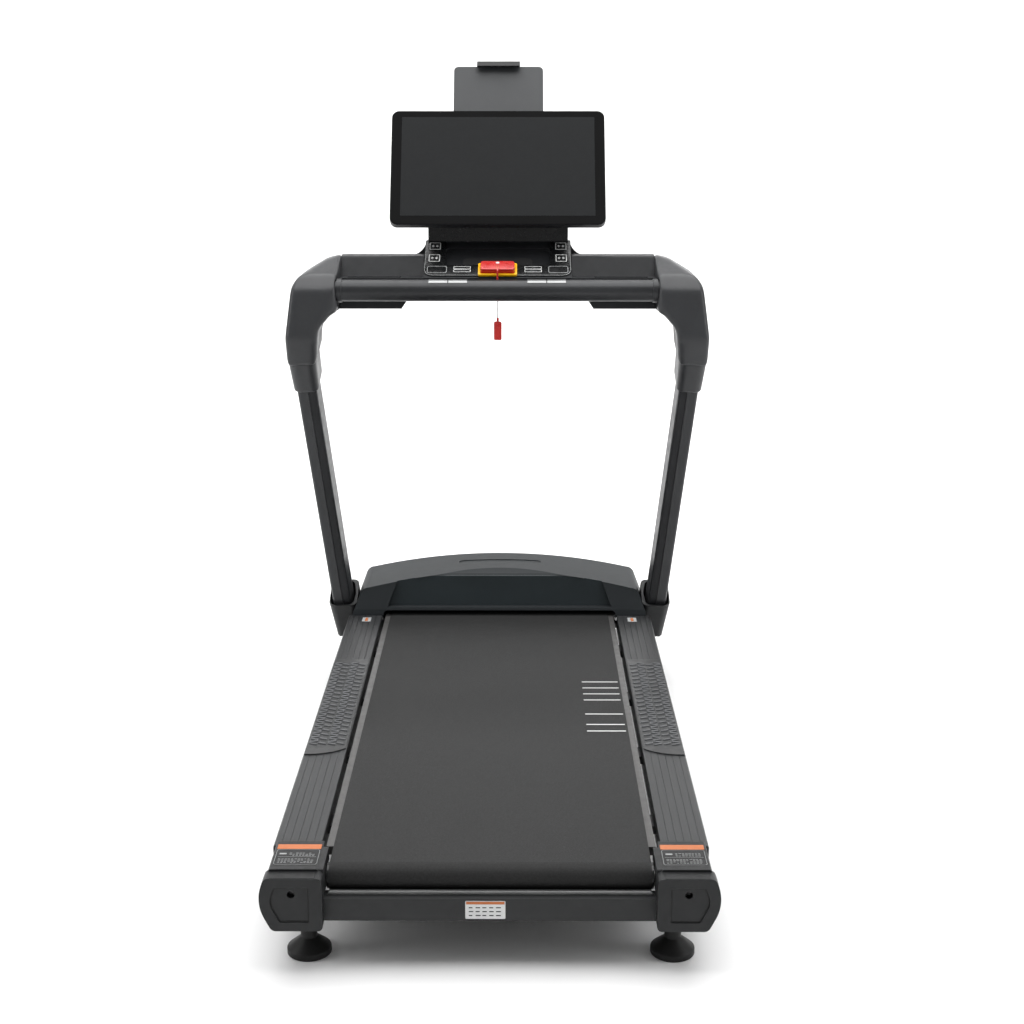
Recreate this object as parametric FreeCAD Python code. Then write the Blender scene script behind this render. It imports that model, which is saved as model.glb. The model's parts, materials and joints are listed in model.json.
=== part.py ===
"""Motorised treadmill: deck, running belt, hood, uprights, console and incline.

Lengths are millimetres. +X is the user's right, +Y points forward to the hood, +Z is up.
The model is drawn with y = 0 on the rear roller's axis and is moved, when it is written,
so that the origin is under the middle of the machine, on the floor.
"""
import FreeCAD, Part
import math
import os

Vector = FreeCAD.Vector
Rotation = FreeCAD.Rotation

# ---------------------------------------------------------------- driving dimensions
belt_width = 550.0
belt_thickness = 2.5
belt_top = 175.0
roller_spacing = 1450.0
roller_radius = 22.2
rear_overhang = 74.0
front_overhang = 356.0
bar_height = 1026.0
bar_radius = 24.0

# clearances
belt_gap = 0.3            # drum to the inside of a belt
running_fit = 0.05        # shaft in its bore, on the radius
slide_gap = 0.5           # sliding piece in its guide
key_gap = 0.4             # keypad key in its window
cover_gap = 1.5           # moulded cover to the piece that passes through it
bolt_gap = 0.4            # bolt in its hole, on the radius

# deck
board_margin = 13.0
board_thickness = 16.0
board_start = 64.0
board_end_gap = 40.0
cushion_height = 9.5
cushion_size = 44.0
cushion_inset = 30.0
member_height = 16.0
member_width = 50.0
member_places = (0.12, 0.36, 0.60, 0.84)
tube_wall = 3.0

# side beams and rails
rail_gap = 9.0
rail_width = 84.0
rail_plate = 4.0
rail_wall = 3.0
rail_skirt = 55.0
rail_groove_width = 1.4
rail_groove_depth = 0.8
rail_groove_count = 5
rail_start = 62.0
beam_inset = 9.0
beam_width = 50.0
beam_height = 80.0
beam_drop = 7.0           # belt top to beam top
beam_rear = 50.0          # beam behind the rear roller
beam_front_gap = 118.0    # beam end to the front of the machine
base_front_gap = 42.0     # base plate's end to the front of the machine
grip_pad_height = 2.4
grip_pad_start = 495.0
grip_pad_front = 424.0    # pad end behind the front roller
grip_pad_bow = 31.0
grip_pad_margin = 2.0

# rear end
crossbar_height = 41.0
crossbar_depth = 30.0
crossbar_rear = 55.0
crossbar_lift = 2.5       # crossbar bottom above the beam bottom
guard_height = 8.0
guard_thickness = 6.0
cap_width = 94.0
cap_bulge = 12.0
cap_lobe_depth = 34.0
cap_wall = 4.0
cap_top = 9.0             # cap top above the belt
cap_inset_depth = 2.5
cap_hole_radius = 6.5
foot_offset = 10.0        # foot centre inboard of the inner beam face
foot_forward = 10.0
foot_radius = 38.5
foot_rim = 11.0
foot_neck_radius = 14.5
foot_cone_top = 31.0
foot_rod_radius = 5.0
foot_travel = 12.0

# rollers, motor and drive
axle_radius = 8.5
drum_wall = 3.0
drum_end = 22.0
drum_margin = 4.0
pulley_width = 20.0
pulley_radius = 32.0
motor_pulley_radius = 20.0
motor_forward = 190.0
motor_lift = 22.0
motor_radius = 50.0
motor_length = 170.0
flywheel_radius = 50.0
flywheel_width = 34.0
motor_shaft_radius = 8.0
drive_belt_thickness = 3.0
base_plate = 4.0
base_plate_lift = 18.0    # base plate bottom above the beam bottom

# lifting frame
lift_back = 65.0          # pivot forward of the front roller
lift_pivot_z = 102.0
lift_tube_radius = 17.0
lift_pin_radius = 10.0
lift_reach = 230.0
lift_arm_x = 210.0
lift_arm_thickness = 8.0
lift_arm_depth = 30.0
wheel_radius = 35.0
wheel_width = 28.0
wheel_axle_radius = 6.0
lift_swing = 35.0
screw_x = 124.0
screw_radius = 8.0
screw_arm = 40.0
screw_pin_radius = 5.0
screw_eye_gap = 2.5
actuator_radius = 24.0

# hood
hood_start = 86.0         # hood end behind the front roller
hood_wall = 3.0
hood_bottom = 92.0
hood_side = 15.0          # hood side outboard of the beam
hood_crown = 102.0        # crown above the belt
hood_shoulder = 65.0      # top of the rounded shoulder above the belt
hood_lip = 12.0           # hood's lower edge above the belt
hood_lip_radius = 12.0
hood_ridge = 222.0        # where the top starts to fall, in front of the hood's rear edge
hood_fall = 0.38          # drop of the top for each millimetre forward
dash_half = 107.0
dash_start = 128.0        # dash slot behind the hood's rear edge
dash_end = 160.0
dash_depth = 1.6
panel_thickness = 2.0

# uprights
upright_out = 44.0        # upright centre outboard of the beam, at its foot
upright_back = 65.0       # upright face behind the front roller, at its foot
upright_foot_z = 201.0
upright_knee_rise = 593.0
upright_lean = 274.0      # back towards the user over the rise
upright_splay = 36.0      # outwards over the rise
upright_front = 44.0
upright_mid = 54.0
upright_tail = 40.0
upright_depth = 80.0
upright_wall = 3.0
upright_bottom_z = 96.0
channel_width = 17.0
channel_offset = 11.0
channel_depth = 2.0
boot_margin = 11.0
boot_height = 160.0
upright_tip = 790.0       # tube's end inside the grip, along the tube from its foot
collar_along = 656.0      # collar's lower and upper ends along the tube
seam_along = 735.0

# handrail, console and display, measured forward from the bar's axis
bar_back = 362.0          # bar axis behind the front roller
bar_wall = 3.0
wing_end = 78.0           # wing end inboard of the upright's centre at the collar
ferrule_width = 11.0
ferrule_wall = 2.5
bar_insert = 38.0
console_gap = 34.0        # bar axis to the console's front wall
console_half = 168.0
tray_wall = 4.0
tray_inner = 219.0
panel_angle = 26.9
panel_length = 144.7
panel_half = 167.0
shelf_half = 120.0
shelf_start = 44.0
plate_thickness = 2.5
display_width = 492.0
display_height = 288.0
display_depth = 32.0
display_lean = 60.0
display_corner = 17.0
neck_half = 162.0
glass_thickness = 2.0
tablet_width = 210.0
tablet_length = 218.0
tablet_rise = 134.0
tablet_thickness = 6.0
clip_width = 101.0
clip_strip = 60.0

# electrics: mains inlet in the front of the hood
inlet_x = 150.0
inlet_width = 112.0
inlet_low = 97.0
inlet_high = 126.0
inlet_depth = 30.0
socket_offset = 84.0
rocker_offset = 26.0
rocker_half = 11.0
rocker_pin_radius = 1.5

# heart-rate plates on the bar and the keypad's keys, measured on the slope
pulse_length = 42.0
pulse_starts = (-153.0, -109.0, 67.0, 111.0)
pulse_thickness = 1.0
key_square = (28.0, 32.0)
key_bar = (43.0, 28.0)
key_square_x = 145.0
key_bar_x = 80.5
key_low_y = 72.0
key_high_y = 123.0
key_bar_y = 25.0
key_travel = 1.5
key_height = 0.6

# safety key's lanyard and its tag
cord_radius = 1.0
cord_above_bar = 20.0     # ferrule above the bar's axis
cord_before_console = 5.0
tag_half = 8.75
tag_length = 50.0
tag_thickness = 6.0

# outlines round the hand grip, as (across, up) from the bar's height at the collar, with corner radii
grip_front_view = [
    (-26, -190), (34, -190), (36, -102, 50), (21, 10, 12), (9, 28, 10),
    (-44, 60, 40), (-wing_end, 70), (-wing_end, -45), (-64, -50, 10), (-36, -82, 30),
]
grip_side_view = [
    (-20, -190), (-47, -104, 50), (-34, 4, 30), (-6, 34, 20), (102, 72, 16), (148, 62, 14),
    (148, -45, 12), (84, -52, 30), (62, -96, 30), (70, -130, 20), (110, -190),
]
grip_plan_view = [(-wing_end, -29, 6), (-24, -54, 16), (60, -52), (60, 190), (-wing_end, 190)]
cover_side_view = [(-6, -150), (-6, -60, 30), (24, -30, 20), (136, -34), (136, -150)]
cover_front_view = [
    (-100, -190), (-100, -20), (-wing_end - 1, -38), (-62, -42, 8), (-30, -78, 28), (-20, -190),
]
wing_side_view = [
    (0, -50), (0, 25, 2), (38, 24), (66, 67, 8), (96, 70, 12), (114, 60, 14), (114, -50),
]
hood_side_view = [
    (0, 1), (3, 14), (38, 93, 30), (96, 105, 60), (226, 105, 70), (346, 60, 120), (432, 2, 60), (442, -50),
]

# ---------------------------------------------------------------- derived places
length = rear_overhang + roller_spacing + front_overhang
rear_axis_y = rear_overhang - length / 2
nose = roller_spacing + front_overhang

belt_half = belt_width / 2
belt_inner = roller_radius + belt_gap
belt_outer = belt_inner + belt_thickness
axle_z = belt_top - belt_outer
board_top = belt_top - belt_thickness
board_bottom = board_top - board_thickness
board_half = belt_half + board_margin
member_top = board_bottom - cushion_height

rail_in = board_half + rail_gap
rail_out = rail_in + rail_width
beam_in = rail_in + beam_inset
beam_out = beam_in + beam_width
beam_top = belt_top - beam_drop
beam_bottom = beam_top - beam_height
beam_end = nose - beam_front_gap
hood_front = roller_spacing - hood_start
hood_half = beam_out + hood_side
base_z = beam_bottom + base_plate_lift
base_top = base_z + base_plate

front = roller_spacing
bar_y = roller_spacing - bar_back
console_y = bar_y + console_gap
collar_x = beam_out + upright_out + upright_splay
wing_half = collar_x - wing_end

# Lanyard route from the ferrule to the tag, pulled nearly straight by the tag.
cord_top = Vector(0.0, console_y - cord_before_console, bar_height + cord_above_bar)
cord_points = [
    cord_top,
    cord_top + Vector(0.9, 0.8, -43.0),
    cord_top + Vector(0.5, 0.2, -85.0),
]


# ---------------------------------------------------------------- drawing helpers
def box(x0, x1, y0, y1, z0, z1):
    """Block between two corners."""
    return Part.makeBox(x1 - x0, y1 - y0, z1 - z0, Vector(x0, y0, z0))


def rod(radius, start, end):
    """Round bar from one point to another."""
    along = end - start
    return Part.makeCylinder(radius, along.Length, start, along)


def rod_x(radius, x0, x1, y, z):
    """Round bar along X."""
    return rod(radius, Vector(x0, y, z), Vector(x1, y, z))


def mirrored(shape):
    """Copy of a right-hand piece for the left side."""
    return shape.mirror(Vector(0, 0, 0), Vector(1, 0, 0))


def outline(points):
    """Closed wire in the XY plane; a point is (u, v) or (u, v, corner radius)."""
    count = len(points)
    corners = []
    for index in range(count):
        here = Vector(points[index][0], points[index][1], 0)
        back = points[index - 1]
        ahead = points[(index + 1) % count]
        radius = points[index][2] if len(points[index]) > 2 else 0.0
        if radius <= 0:
            corners.append((here, None, here))
            continue
        to_back = (Vector(back[0], back[1], 0) - here).normalize()
        to_ahead = (Vector(ahead[0], ahead[1], 0) - here).normalize()
        half = to_back.getAngle(to_ahead) / 2
        reach = radius / math.tan(half)
        middle = (to_back + to_ahead).normalize() * (radius / math.sin(half) - radius)
        corners.append((here + to_back * reach, here + middle, here + to_ahead * reach))
    edges = []
    for index in range(count):
        start, middle, end = corners[index]
        if middle is not None:
            edges.append(Part.Arc(start, middle, end).toShape())
        following = corners[(index + 1) % count][0]
        if (following - end).Length > 1e-6:
            edges.append(Part.LineSegment(end, following).toShape())
    return Part.Wire(edges)


def placed(shape, plane, low, high):
    """Stand a shape that was drawn on the XY plane in the plane named, from low to high."""
    if plane == "yz":
        turn = Rotation(Vector(0, 1, 0), Vector(0, 0, 1), Vector(1, 0, 0), "XYZ")
        shape.Placement = FreeCAD.Placement(Vector(low, 0, 0), turn)
    elif plane == "xz":
        turn = Rotation(Vector(1, 0, 0), Vector(0, 0, 1), Vector(0, -1, 0), "XYZ")
        shape.Placement = FreeCAD.Placement(Vector(0, high, 0), turn)
    else:
        shape.Placement = FreeCAD.Placement(Vector(0, 0, low), Rotation())
    return shape


def prism(points, plane, low, high):
    """Outline in a plane ("xy", "xz" or "yz") drawn out from low to high."""
    solid = Part.Face(outline(points)).extrude(Vector(0, 0, high - low))
    return placed(solid, plane, low, high)


def shifted(points, across, up):
    """Outline moved across and up."""
    return [(point[0] + across, point[1] + up) + tuple(point[2:]) for point in points]


def slab(x0, x1, y0, y1, z0, z1, radius):
    """Block with its upright edges rounded."""
    points = [(x0, y0, radius), (x1, y0, radius), (x1, y1, radius), (x0, y1, radius)]
    return prism(points, "xy", z0, z1)


def hollow_x(x0, x1, y0, y1, z0, z1, wall):
    """Rectangular tube along X with open ends."""
    outer = box(x0, x1, y0, y1, z0, z1)
    return outer.cut(box(x0 - 1, x1 + 1, y0 + wall, y1 - wall, z0 + wall, z1 - wall))


def loop(radius_a, y_a, z_a, radius_b, y_b, z_b, x0, x1):
    """Solid shape of a tight belt's outside around two pulleys whose axes lie along X."""
    span = math.hypot(y_b - y_a, z_b - z_a)
    heading = math.atan2(z_b - z_a, y_b - y_a)
    tilt = math.acos((radius_a - radius_b) / span)

    def spot(radius, y, z, angle):
        return Vector(y + radius * math.cos(angle), z + radius * math.sin(angle), 0)

    up = heading + tilt
    down = heading - tilt
    a_up = spot(radius_a, y_a, z_a, up)
    a_down = spot(radius_a, y_a, z_a, down)
    b_up = spot(radius_b, y_b, z_b, up)
    b_down = spot(radius_b, y_b, z_b, down)
    edges = [
        Part.Arc(a_up, spot(radius_a, y_a, z_a, heading + math.pi), a_down).toShape(),
        Part.LineSegment(a_down, b_down).toShape(),
        Part.Arc(b_down, spot(radius_b, y_b, z_b, heading), b_up).toShape(),
        Part.LineSegment(b_up, a_up).toShape(),
    ]
    solid = Part.Face(Part.Wire(edges)).extrude(Vector(0, 0, x1 - x0))
    return placed(solid, "yz", x0, x1)


def group(shapes):
    """Separate solids that are kept in one sub-part."""
    return Part.makeCompound(shapes)


def pair(shape):
    """A right-hand piece and its left-hand copy in one sub-part."""
    return group([mirrored(shape), shape])


# ---------------------------------------------------------------- deck
def member_centres():
    """Places of the deck's cross members along the board."""
    usable = roller_spacing - board_end_gap - board_start
    return [board_start + usable * share for share in member_places]


def make_crossmembers():
    """Tubes under the deck board and the motor's base plate, welded between the beams."""
    low = member_top - member_height
    tubes = []
    for centre in member_centres():
        y0 = centre - member_width / 2
        y1 = centre + member_width / 2
        tubes.append(hollow_x(-beam_in, beam_in, y0, y1, low, member_top, 2.0))
    end = nose - base_front_gap
    plate = box(-beam_in, beam_in, front + 106, end, base_z, base_top)
    lip = box(-beam_in, beam_in, end - base_plate, end, base_top, base_top + 26)
    return group(tubes + [plate.fuse(lip).removeSplitter()])


def make_deck_board():
    """Waxed board that the belt slides on."""
    return box(-board_half, board_half, board_start, front - board_end_gap, board_bottom, board_top)


def make_cushions():
    """Rubber blocks between the cross members and the board."""
    blocks = []
    side = board_half - cushion_inset - cushion_size
    for centre in member_centres():
        for x in (-side - cushion_size, side):
            y = centre - cushion_size / 2
            blocks.append(slab(x, x + cushion_size, y, y + cushion_size, member_top, board_bottom, 6))
    return group(blocks)


def make_running_belt():
    """Endless belt around both rollers and the board."""
    outer = loop(belt_outer, 0, axle_z, belt_outer, front, axle_z, -belt_half, belt_half)
    inner = loop(belt_inner, 0, axle_z, belt_inner, front, axle_z, -belt_half - 1, belt_half + 1)
    return outer.cut(inner)


def make_side_beam():
    """Right-hand steel side tube with its rear end plate and the upright's welded bracket."""
    y0 = -beam_rear
    tube = box(beam_in, beam_out, y0, beam_end, beam_bottom, beam_top)
    bore = box(beam_in + tube_wall, beam_out - tube_wall, y0 + 6, beam_end + 1,
               beam_bottom + tube_wall, beam_top - tube_wall)
    beam = tube.cut(bore)
    slot = box(beam_in - 1, beam_in + tube_wall + 1, -20, 20, axle_z - axle_radius - 0.3,
               axle_z + axle_radius + 0.3)
    hole = rod_x(axle_radius + running_fit, beam_in - 1, beam_in + tube_wall + 1, front, axle_z)
    pin = rod_x(lift_pin_radius + running_fit, beam_in - 1, beam_in + tube_wall + 1,
                front + lift_back, lift_pivot_z)
    foot = rod(foot_rod_radius + bolt_gap, Vector(beam_in + foot_offset, foot_forward, 0),
               Vector(beam_in + foot_offset, foot_forward, beam_bottom + tube_wall + 1))
    tension = rod(4 + bolt_gap, Vector(tension_x(), y0 - 1, axle_z), Vector(tension_x(), y0 + 7, axle_z))
    beam = beam.cut(Part.makeCompound([slot, hole, pin, foot, tension]))
    bracket = box(beam_out, beam_out + upright_out, front - 20, front + 44, 104, 150)
    bracket = bracket.cut(upright_solid(0.0))
    bracket = max(bracket.Solids, key=lambda part: -part.BoundBox.XMin)
    return beam.fuse(bracket).removeSplitter()


def tension_x():
    """Place of the belt tension bolt across the machine."""
    return beam_in + beam_width / 2 + 2


def make_side_rail():
    """Right-hand aluminium foot rail, grooved along its top."""
    top = belt_top
    low = top - rail_plate
    profile = [
        (rail_in, top - 24), (rail_in, top, 2), (rail_out, top, 4), (rail_out, top - rail_skirt),
        (rail_out - rail_wall, top - rail_skirt), (rail_out - rail_wall, low),
        (rail_in + rail_wall, low), (rail_in + rail_wall, top - 24),
    ]
    rail = prism(profile, "xz", rail_start, hood_front - 2)
    for x in (beam_in + 4, beam_out - 7):
        rail = rail.fuse(box(x, x + rail_wall, rail_start, hood_front - 2, beam_top, low))
    pitch = rail_width / (rail_groove_count + 1)
    for index in range(rail_groove_count):
        x = rail_in + pitch * (index + 1) - rail_groove_width / 2
        rail = rail.cut(box(x, x + rail_groove_width, rail_start - 1, hood_front,
                            top - rail_groove_depth, top + 1))
    return rail.removeSplitter()


def make_foot_grips():
    """Raised grip mats on both rails, with a bowed rear edge."""
    x0 = rail_in + grip_pad_margin
    x1 = rail_out - grip_pad_margin
    y0 = grip_pad_start
    end = roller_spacing - grip_pad_front
    corners = [Vector(x0, y0, 0), Vector(x1, y0 - grip_pad_bow, 0), Vector(x1, end, 0), Vector(x0, end, 0)]
    bow = Vector((x0 + x1) / 2 + 8, y0 - grip_pad_bow + 3, 0)
    edges = [Part.Arc(corners[0], bow, corners[1]).toShape()]
    for index in range(1, 4):
        edges.append(Part.LineSegment(corners[index], corners[(index + 1) % 4]).toShape())
    solid = Part.Face(Part.Wire(edges)).extrude(Vector(0, 0, grip_pad_height))
    solid.translate(Vector(0, 0, belt_top))
    return pair(solid)


# ---------------------------------------------------------------- rear end
def crossbar_bottom():
    """Underside of the rear crossbar."""
    return beam_bottom + crossbar_lift


def make_rear_crossbar():
    """Rear tube between the side beams."""
    low = crossbar_bottom()
    return hollow_x(-beam_in, beam_in, -crossbar_rear + 6, -crossbar_rear + 6 + crossbar_depth,
                    low, low + crossbar_height, tube_wall)


def make_guard_strip():
    """Bright strip on the crossbar that keeps fingers from the belt's run-in."""
    low = crossbar_bottom() + crossbar_height
    y = -crossbar_rear + 6 + crossbar_depth / 2
    half = belt_half + 4
    profile = [(-half, low), (half, low), (half - 6, low + guard_height), (-half + 6, low + guard_height)]
    return prism(profile, "xz", y - guard_thickness / 2, y + guard_thickness / 2)


def make_rear_cap():
    """Right-hand moulded end cap: bumper lobe, label block and the cheek beside the belt."""
    top = belt_top + cap_top
    low = beam_bottom - 4
    inner = belt_half + 6
    outer = inner + cap_width
    rear = -rear_overhang
    lobe_outline = [
        (inner, low, 8), (outer - 8, low, 12), (outer + cap_bulge + 8, (low + top) / 2 + 6, 78),
        (outer + 2, top - 4, 10), (inner, top - 4, 8),
    ]
    lobe = prism(lobe_outline, "xz", rear, rear + cap_lobe_depth)
    block = prism([(inner + 9, low, 4), (outer - 1, low, 4), (outer - 1, top, 5), (inner + 9, top, 3)],
                  "xz", rear + cap_lobe_depth - 6, rail_start - 0.5)
    cheek = prism([(rear + cap_lobe_depth - 4, axle_z - 36, 4), (rear + cap_lobe_depth - 4, top - 1, 3),
                   (50, top - 1, 8), (38, axle_z + 4, 14), (-4, axle_z - 22, 12), (-18, axle_z - 36, 6)],
                  "yz", inner, inner + 10)
    cap = lobe.fuse(block).fuse(cheek)
    inset_outline = [
        (inner + 22, low + 16, 3), (outer - 22, low + 16, 6), (outer - 4, (low + top) / 2 + 2, 30),
        (outer - 14, top - 20, 6), (inner + 22, top - 20, 3),
    ]
    inset = prism(inset_outline, "xz", rear - 1, rear + cap_inset_depth)
    cavity = box(beam_in - 1, beam_out + 1, rear + cap_wall + cap_inset_depth, rail_start + 1,
                 low - 1, beam_top)
    way = box(inner - 1, beam_in, -crossbar_rear + 5, rail_start + 1, low - 1,
              crossbar_bottom() + crossbar_height + 1)
    axle = box(inner - 1, beam_in, -axle_radius - 1, rail_start + 1, axle_z - axle_radius - 1,
               axle_z + axle_radius + 1)
    hole = rod(cap_hole_radius, Vector(tension_x(), rear - 1, axle_z),
               Vector(tension_x(), rear + 12, axle_z))
    cap = cap.cut(Part.makeCompound([inset, cavity])).cut(way).cut(axle).cut(hole)
    cap = cap.cut(rod(foot_neck_radius + cover_gap, Vector(beam_in + foot_offset, foot_forward, low - 5),
                      Vector(beam_in + foot_offset, foot_forward, beam_bottom)))
    return max(cap.Solids, key=lambda part: part.Volume).removeSplitter()


def make_rear_foot():
    """Right-hand levelling foot: cone, neck and threaded rod in one turned piece."""
    x = beam_in + foot_offset
    profile = [
        (0, 0), (foot_radius, 0, 2), (foot_radius, foot_rim, 3), (foot_neck_radius, foot_cone_top),
        (foot_neck_radius, beam_bottom - 0.5), (foot_rod_radius, beam_bottom - 0.5),
        (foot_rod_radius, beam_bottom + 40), (0, beam_bottom + 40),
    ]
    face = Part.Face(outline(profile))
    face.rotate(Vector(0, 0, 0), Vector(1, 0, 0), 90)
    solid = face.revolve(Vector(0, 0, 0), Vector(0, 0, 1), 360)
    solid.translate(Vector(x, foot_forward, 0))
    return solid


# ---------------------------------------------------------------- rollers and drive
def make_roller(y, pulley):
    """Hollow drum that turns on a fixed axle; the front one carries the drive pulley."""
    half = belt_half + drum_margin
    drum = rod_x(roller_radius, -half, half, y, axle_z)
    drum = drum.cut(rod_x(roller_radius - drum_wall, -half + drum_end, half - drum_end, y, axle_z))
    if pulley:
        left = -half - pulley_width
        drum = drum.fuse(rod_x(pulley_radius, left, -half, y, axle_z))
    return drum.cut(rod_x(axle_radius + running_fit, -half - pulley_width - 1, half + 1, y, axle_z))


def motor_place():
    """Motor axis as (y, z)."""
    return front + motor_forward, axle_z + motor_lift


def pulley_side():
    """Inner and outer x of the drive pulleys."""
    inner = -(belt_half + drum_margin)
    return inner - pulley_width, inner


def make_motor_rotor():
    """Motor shaft with its flywheel and drive pulley."""
    y, z = motor_place()
    left, right = pulley_side()
    shaft = rod_x(motor_shaft_radius, left, right + 60 + motor_length, y, z)
    pulley = rod_x(motor_pulley_radius, left, right, y, z)
    flywheel = rod_x(flywheel_radius, right + 10, right + 10 + flywheel_width, y, z)
    return shaft.fuse(pulley).fuse(flywheel).removeSplitter()


def make_drive_motor():
    """Motor housing standing on the base plate."""
    y, z = motor_place()
    x0 = pulley_side()[1] + 10 + flywheel_width + 6
    housing = rod_x(motor_radius, x0, x0 + motor_length, y, z)
    housing = housing.fuse(box(x0 + 20, x0 + motor_length - 20, y - 34, y + 34, base_top, z))
    for index in range(9):
        x = x0 + 26 + index * 14
        ring = rod_x(motor_radius + 1, x, x + 5, y, z).cut(rod_x(motor_radius - 2.5, x - 1, x + 6, y, z))
        housing = housing.cut(ring.cut(box(x - 1, x + 6, y - 40, y + 40, base_top - 1, z - 20)))
    return housing.cut(rod_x(motor_shaft_radius + running_fit, x0 - 1, x0 + motor_length + 1, y, z))


def make_drive_belt():
    """Ribbed belt from the motor to the front roller."""
    y, z = motor_place()
    left, right = pulley_side()
    inner = loop(pulley_radius + belt_gap, front, axle_z, motor_pulley_radius + belt_gap, y, z,
                 left + 1, right - 1)
    grow = belt_gap + drive_belt_thickness
    outer = loop(pulley_radius + grow, front, axle_z, motor_pulley_radius + grow, y, z, left + 2, right - 2)
    return outer.cut(inner)


def make_fixed_axles():
    """Roller axles, the lifting frame's pivot pins and the two belt tension bolts."""
    end = tension_x() + 12
    rear_axle = rod_x(axle_radius, -end, end, 0, axle_z)
    parts = [rod_x(axle_radius, -end, end, front, axle_z)]
    for side in (-1, 1):
        x = side * tension_x()
        start = Vector(x, -beam_rear - 7, axle_z)
        shaft = rod(4.0, start, Vector(x, -axle_radius + 2, axle_z))
        head = Part.makePolygon([Vector(x + 7 * math.cos(math.radians(a)), -beam_rear - 7,
                                        axle_z + 7 * math.sin(math.radians(a))) for a in range(0, 361, 60)])
        head = Part.Face(head).extrude(Vector(0, 7, 0))
        rear_axle = rear_axle.fuse(shaft).fuse(head)
        inner = side * (beam_in - 34)
        outer = side * (beam_in + tube_wall)
        parts.append(rod_x(lift_pin_radius, min(inner, outer), max(inner, outer),
                           front + lift_back, lift_pivot_z))
    parts.append(rear_axle)
    return group(parts)


# ---------------------------------------------------------------- lifting frame
def wheel_place():
    """Wheel axis as (y, z)."""
    return front + lift_back + lift_reach, wheel_radius


def make_lift_frame():
    """Pivot tube, two arms, cross tube, wheel axles and the lug that the screw pulls."""
    y0 = front + lift_back
    y1, z1 = wheel_place()
    half = beam_in - 5
    frame = rod_x(lift_tube_radius, -half, half, y0, lift_pivot_z)
    slope = math.atan2(z1 - lift_pivot_z, y1 - y0)
    reach = math.hypot(y1 - y0, z1 - lift_pivot_z)
    for side in (-1, 1):
        x0 = side * lift_arm_x
        x1 = side * (lift_arm_x + lift_arm_thickness)
        arm = slab(0, reach, -lift_arm_depth / 2, lift_arm_depth / 2, min(x0, x1), max(x0, x1), 0)
        hub = Part.makeCylinder(lift_arm_depth / 2, lift_arm_thickness, Vector(reach, 0, min(x0, x1)))
        arm = placed(arm.fuse(hub), "yz", 0, 0)
        arm.rotate(Vector(0, 0, 0), Vector(1, 0, 0), math.degrees(slope))
        arm.translate(Vector(0, y0, lift_pivot_z))
        frame = frame.fuse(arm)
        tip = side * (lift_arm_x - wheel_width - 10)
        frame = frame.fuse(rod_x(wheel_axle_radius, min(tip, x0), max(tip, x0), y1, z1))
        washer = side * (lift_arm_x - wheel_width - 6)
        frame = frame.fuse(rod_x(wheel_axle_radius + 4, min(tip, washer), max(tip, washer), y1, z1))
    middle = 0.58
    frame = frame.fuse(rod_x(11, -lift_arm_x, lift_arm_x, y0 + (y1 - y0) * middle,
                             lift_pivot_z + (z1 - lift_pivot_z) * middle))
    half_swing = math.radians(lift_swing / 2)
    pin_y = y0 - screw_arm * math.sin(half_swing)
    pin_z = lift_pivot_z + screw_arm * math.cos(half_swing)
    for x in (screw_x - 14, screw_x + 8):
        web = prism([(y0 - 14, lift_pivot_z + 4), (y0 + 14, lift_pivot_z + 4), (pin_y + 9, pin_z + 9, 8),
                     (pin_y - 9, pin_z + 9, 8)], "yz", x, x + 6)
        frame = frame.fuse(web)
    frame = frame.fuse(rod_x(screw_pin_radius, screw_x - 12, screw_x + 12, pin_y, pin_z))
    for side in (-1, 1):
        inner = side * (beam_in - 36)
        outer = side * (half + 1)
        frame = frame.cut(rod_x(lift_pin_radius + running_fit, min(inner, outer), max(inner, outer), y0,
                                lift_pivot_z))
    return frame.removeSplitter()


def make_lift_wheel(side):
    """Front wheel on the lifting frame."""
    y, z = wheel_place()
    x0 = side * (lift_arm_x - wheel_width - 4)
    x1 = side * (lift_arm_x - 2)
    wheel = rod_x(wheel_radius, min(x0, x1), max(x0, x1), y, z)
    wheel = wheel.makeChamfer(2.5, [edge for edge in wheel.Edges if edge.Length > 100])
    return wheel.cut(rod_x(wheel_axle_radius + running_fit, min(x0, x1) - 1, max(x0, x1) + 1, y, z))


def screw_height():
    """Screw axis, half way up the rise and fall of the lug's pin."""
    half_swing = math.radians(lift_swing / 2)
    return lift_pivot_z + screw_arm * (1 + math.cos(half_swing)) / 2


def make_incline_screw():
    """Screw that slides in the actuator, with the eye round the lug's pin."""
    half_swing = math.radians(lift_swing / 2)
    eye_y = front + lift_back - screw_arm * math.sin(half_swing)
    z = screw_height()
    eye_radius = screw_pin_radius + screw_eye_gap
    eye = rod_x(eye_radius + 6, screw_x - 6, screw_x + 6, eye_y, z)
    stem = rod(screw_radius, Vector(screw_x, eye_y + eye_radius + 2, z), Vector(screw_x, front + 250, z))
    solid = eye.fuse(stem)
    return solid.cut(rod_x(eye_radius, screw_x - 7, screw_x + 7, eye_y, z)).removeSplitter()


def make_incline_motor():
    """Actuator body with its gear case, standing on the base plate."""
    z = screw_height()
    y0 = front + 130
    barrel = rod(actuator_radius, Vector(screw_x, y0, z), Vector(screw_x, front + 300, z))
    case = slab(screw_x - 30, screw_x + 30, front + 225, front + 305, base_top, z + 30, 8)
    saddle = box(screw_x - 14, screw_x + 14, y0 + 10, y0 + 50, base_top, z)
    body = barrel.fuse(case).fuse(saddle)
    return body.cut(rod(screw_radius + running_fit, Vector(screw_x, y0 - 1, z),
                        Vector(screw_x, front + 290, z))).removeSplitter()


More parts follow.
